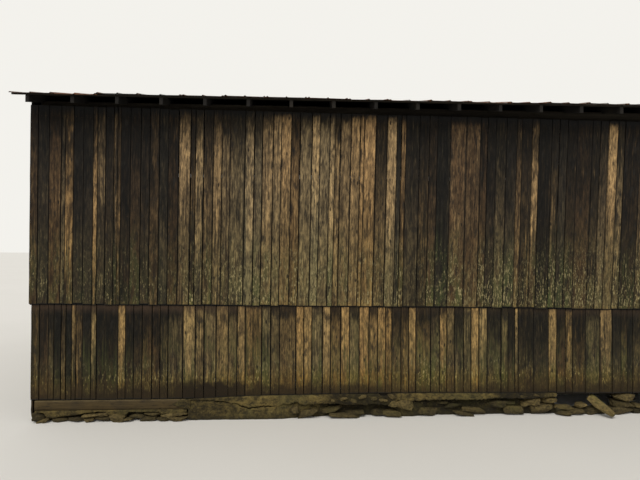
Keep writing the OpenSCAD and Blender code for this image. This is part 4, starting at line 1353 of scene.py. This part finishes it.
def add_nail(pile, wall_map, s, d, z):
    points = [wall_map(s, d + 0.0022, z)]
    for rise, share in ((0.0018, 0.7), (0.0, 1.0)):
        for k in range(NAIL_SIDES):
            a = 2 * math.pi * k / NAIL_SIDES
            r = NAIL_RADIUS * share
            points.append(wall_map(s + r * math.cos(a), d + rise, z + r * math.sin(a)))
    rim = 1 + NAIL_SIDES
    faces = [tuple(reversed(range(rim, rim + NAIL_SIDES)))]
    for k in range(NAIL_SIDES):
        m = (k + 1) % NAIL_SIDES
        faces += [(0, 1 + k, 1 + m), (1 + k, rim + k, rim + m, 1 + m)]
    pile.add(points, faces)


def front_nails():
    """Two nails to each board in every row, which lean over with the boards."""
    rng = random.Random(77)
    pile = Pile()
    upper_rows = (lambda s: lap_line(s) + 0.055, level(RAIL_NAILS), level(PLATE_NAILS))
    for laid, wall_map, out, rows, lean in ((lower_laid, on_front, BOARD, (level(SILL_NAILS),), level(0.0)),
                                            (upper_laid, over_front, 2 * BOARD, upper_rows, lean_line)):
        for left, right, _ in laid:
            for row in rows:
                z = row(left)
                tip = (z - lap_line(left)) * math.tan(math.radians(lean(left)))
                for f in (0.25, 0.75):
                    s = blend(left, right, f + rng.uniform(-0.06, 0.06)) + tip
                    add_nail(pile, wall_map, s, out + 0.0008, z + rng.gauss(0, 0.01))
    pile.build("front_nails", nails)


front_nails()


# Frame timbers keep their CAD shape, with worn corners

GRAIN = {
    "X": ("front_nailers", "back_nailers", "front_plate", "back_plate", "ridge_board", "front_purlin",
          "back_purlin", "front_battens", "back_battens"),
    "Y": ("left_nailers", "right_nailers", "tie_beams", "front_rafters", "back_rafters"),
    "Z": ("front_posts", "back_posts", "left_gable_posts", "right_gable_posts", "king_posts", "queen_posts"),
}
# Timbers in the near-black wood: black stain, and painted shade under the eave and in the gap under the front
# wall.
STAINED_AND_SHADED = ("front_nailers", "front_plate", "back_plate", "front_battens", "back_battens")


def wood_of(name, axis):
    if name.endswith("rafters"):
        return stained_shaded_rafter_wood
    return stained_shaded_eave_wood if name in STAINED_AND_SHADED else frame_wood[axis]


for axis, names in GRAIN.items():
    for name in names:
        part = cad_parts[name]
        part.data.materials.clear()
        part.data.materials.append(wood_of(name, axis))
        weld = part.modifiers.new("joined_faces", "WELD")
        weld.merge_threshold = 0.0001
        bevel = part.modifiers.new("worn_corners", "BEVEL")
        bevel.width = 0.006
        bevel.segments = 2
        bevel.limit_method = "ANGLE"


# Floor, light and camera

def studio_floor():
    g = Graph("pale_floor")
    tint = g.noise(g.vector(*g.place()), 0.35, 2.0, 0.5)
    material = g.finish(g.mix(tint, (0.7, 0.69, 0.665), (0.74, 0.73, 0.705)), 0.9)
    mesh = bpy.data.meshes.new("studio_floor")
    reach = 140.0
    corners = [(x * reach, y * reach, 0) for x, y in ((-1, -1), (1, -1), (1, 1), (-1, 1))]
    mesh.from_pydata(corners, [], [(0, 1, 2, 3)])
    mesh.materials.append(material)
    floor = bpy.data.objects.new("studio_floor", mesh)
    bpy.context.scene.collection.objects.link(floor)
    floor.location.z = -0.001


def studio_sky():
    """Even light from all round, and a paler backdrop for what the camera sees."""
    world = bpy.data.worlds.new("studio")
    bpy.context.scene.world = world
    world.use_nodes = True
    nodes, links = world.node_tree.nodes, world.node_tree.links
    nodes.clear()
    choose = nodes.new("ShaderNodeMixShader")
    for k, colour, strength in ((1, (1.0, 0.985, 0.95, 1), 0.62), (2, (0.9, 0.885, 0.84, 1), 1.0)):
        sky = nodes.new("ShaderNodeBackground")
        sky.inputs[0].default_value = colour
        sky.inputs[1].default_value = strength
        links.new(sky.outputs[0], choose.inputs[k])
    path = nodes.new("ShaderNodeLightPath")
    seen = path.outputs["Is Camera Ray"]
    for ray in ("Is Glossy Ray", "Is Transmission Ray"):
        either = nodes.new("ShaderNodeMath")
        either.operation = "MAXIMUM"
        links.new(seen, either.inputs[0])
        links.new(path.outputs[ray], either.inputs[1])
        seen = either.outputs[0]
    links.new(seen, choose.inputs[0])
    links.new(choose.outputs[0], nodes.new("ShaderNodeOutputWorld").inputs[0])


def soft_key():
    sun = bpy.data.lights.new("soft_key", "SUN")
    sun.energy = 1.9
    sun.angle = math.radians(34)
    sun.color = (1.0, 0.965, 0.9)
    key = bpy.data.objects.new("soft_key", sun)
    key.rotation_euler = Vector((0.34, 0.78, -0.88)).to_track_quat("-Z", "Y").to_euler()
    bpy.context.scene.collection.objects.link(key)


# Camera fitted to the photo: from the front's left-hand end, out from its boards and up, in metres
EYE_ALONG, EYE_OUT, EYE_UP = 3.77, 8.08, 2.617
YAW, PITCH, ROLL = (math.radians(v) for v in (3.3, 0.5, 0.3))
SENSOR_WIDTH = 36.0
FOCAL_PIXELS, PHOTO_WIDTH = 535.0, 640.0


def fitted_camera():
    camera = bpy.data.cameras.new("view")
    camera.sensor_width = SENSOR_WIDTH
    camera.lens = SENSOR_WIDTH * FOCAL_PIXELS / PHOTO_WIDTH
    camera.clip_end = 500.0
    eye = bpy.data.objects.new("view", camera)
    bpy.context.scene.collection.objects.link(eye)
    forward = Vector((math.sin(YAW) * math.cos(PITCH), math.cos(YAW) * math.cos(PITCH), math.sin(PITCH)))
    across = Vector((math.cos(YAW), -math.sin(YAW), 0.0))
    upward = across.cross(forward)
    right = across * math.cos(ROLL) + upward * math.sin(ROLL)
    upward = upward * math.cos(ROLL) - across * math.sin(ROLL)
    turn = Matrix((right, upward, -forward)).transposed()
    place = Matrix.Translation((LEFT + EYE_ALONG, -FRAME_Y - BOARD - EYE_OUT, EYE_UP))
    eye.matrix_world = place @ turn.to_4x4()
    bpy.context.scene.camera = eye


studio_floor()
studio_sky()
soft_key()
fitted_camera()
bpy.context.scene.view_settings.view_transform = "Standard"
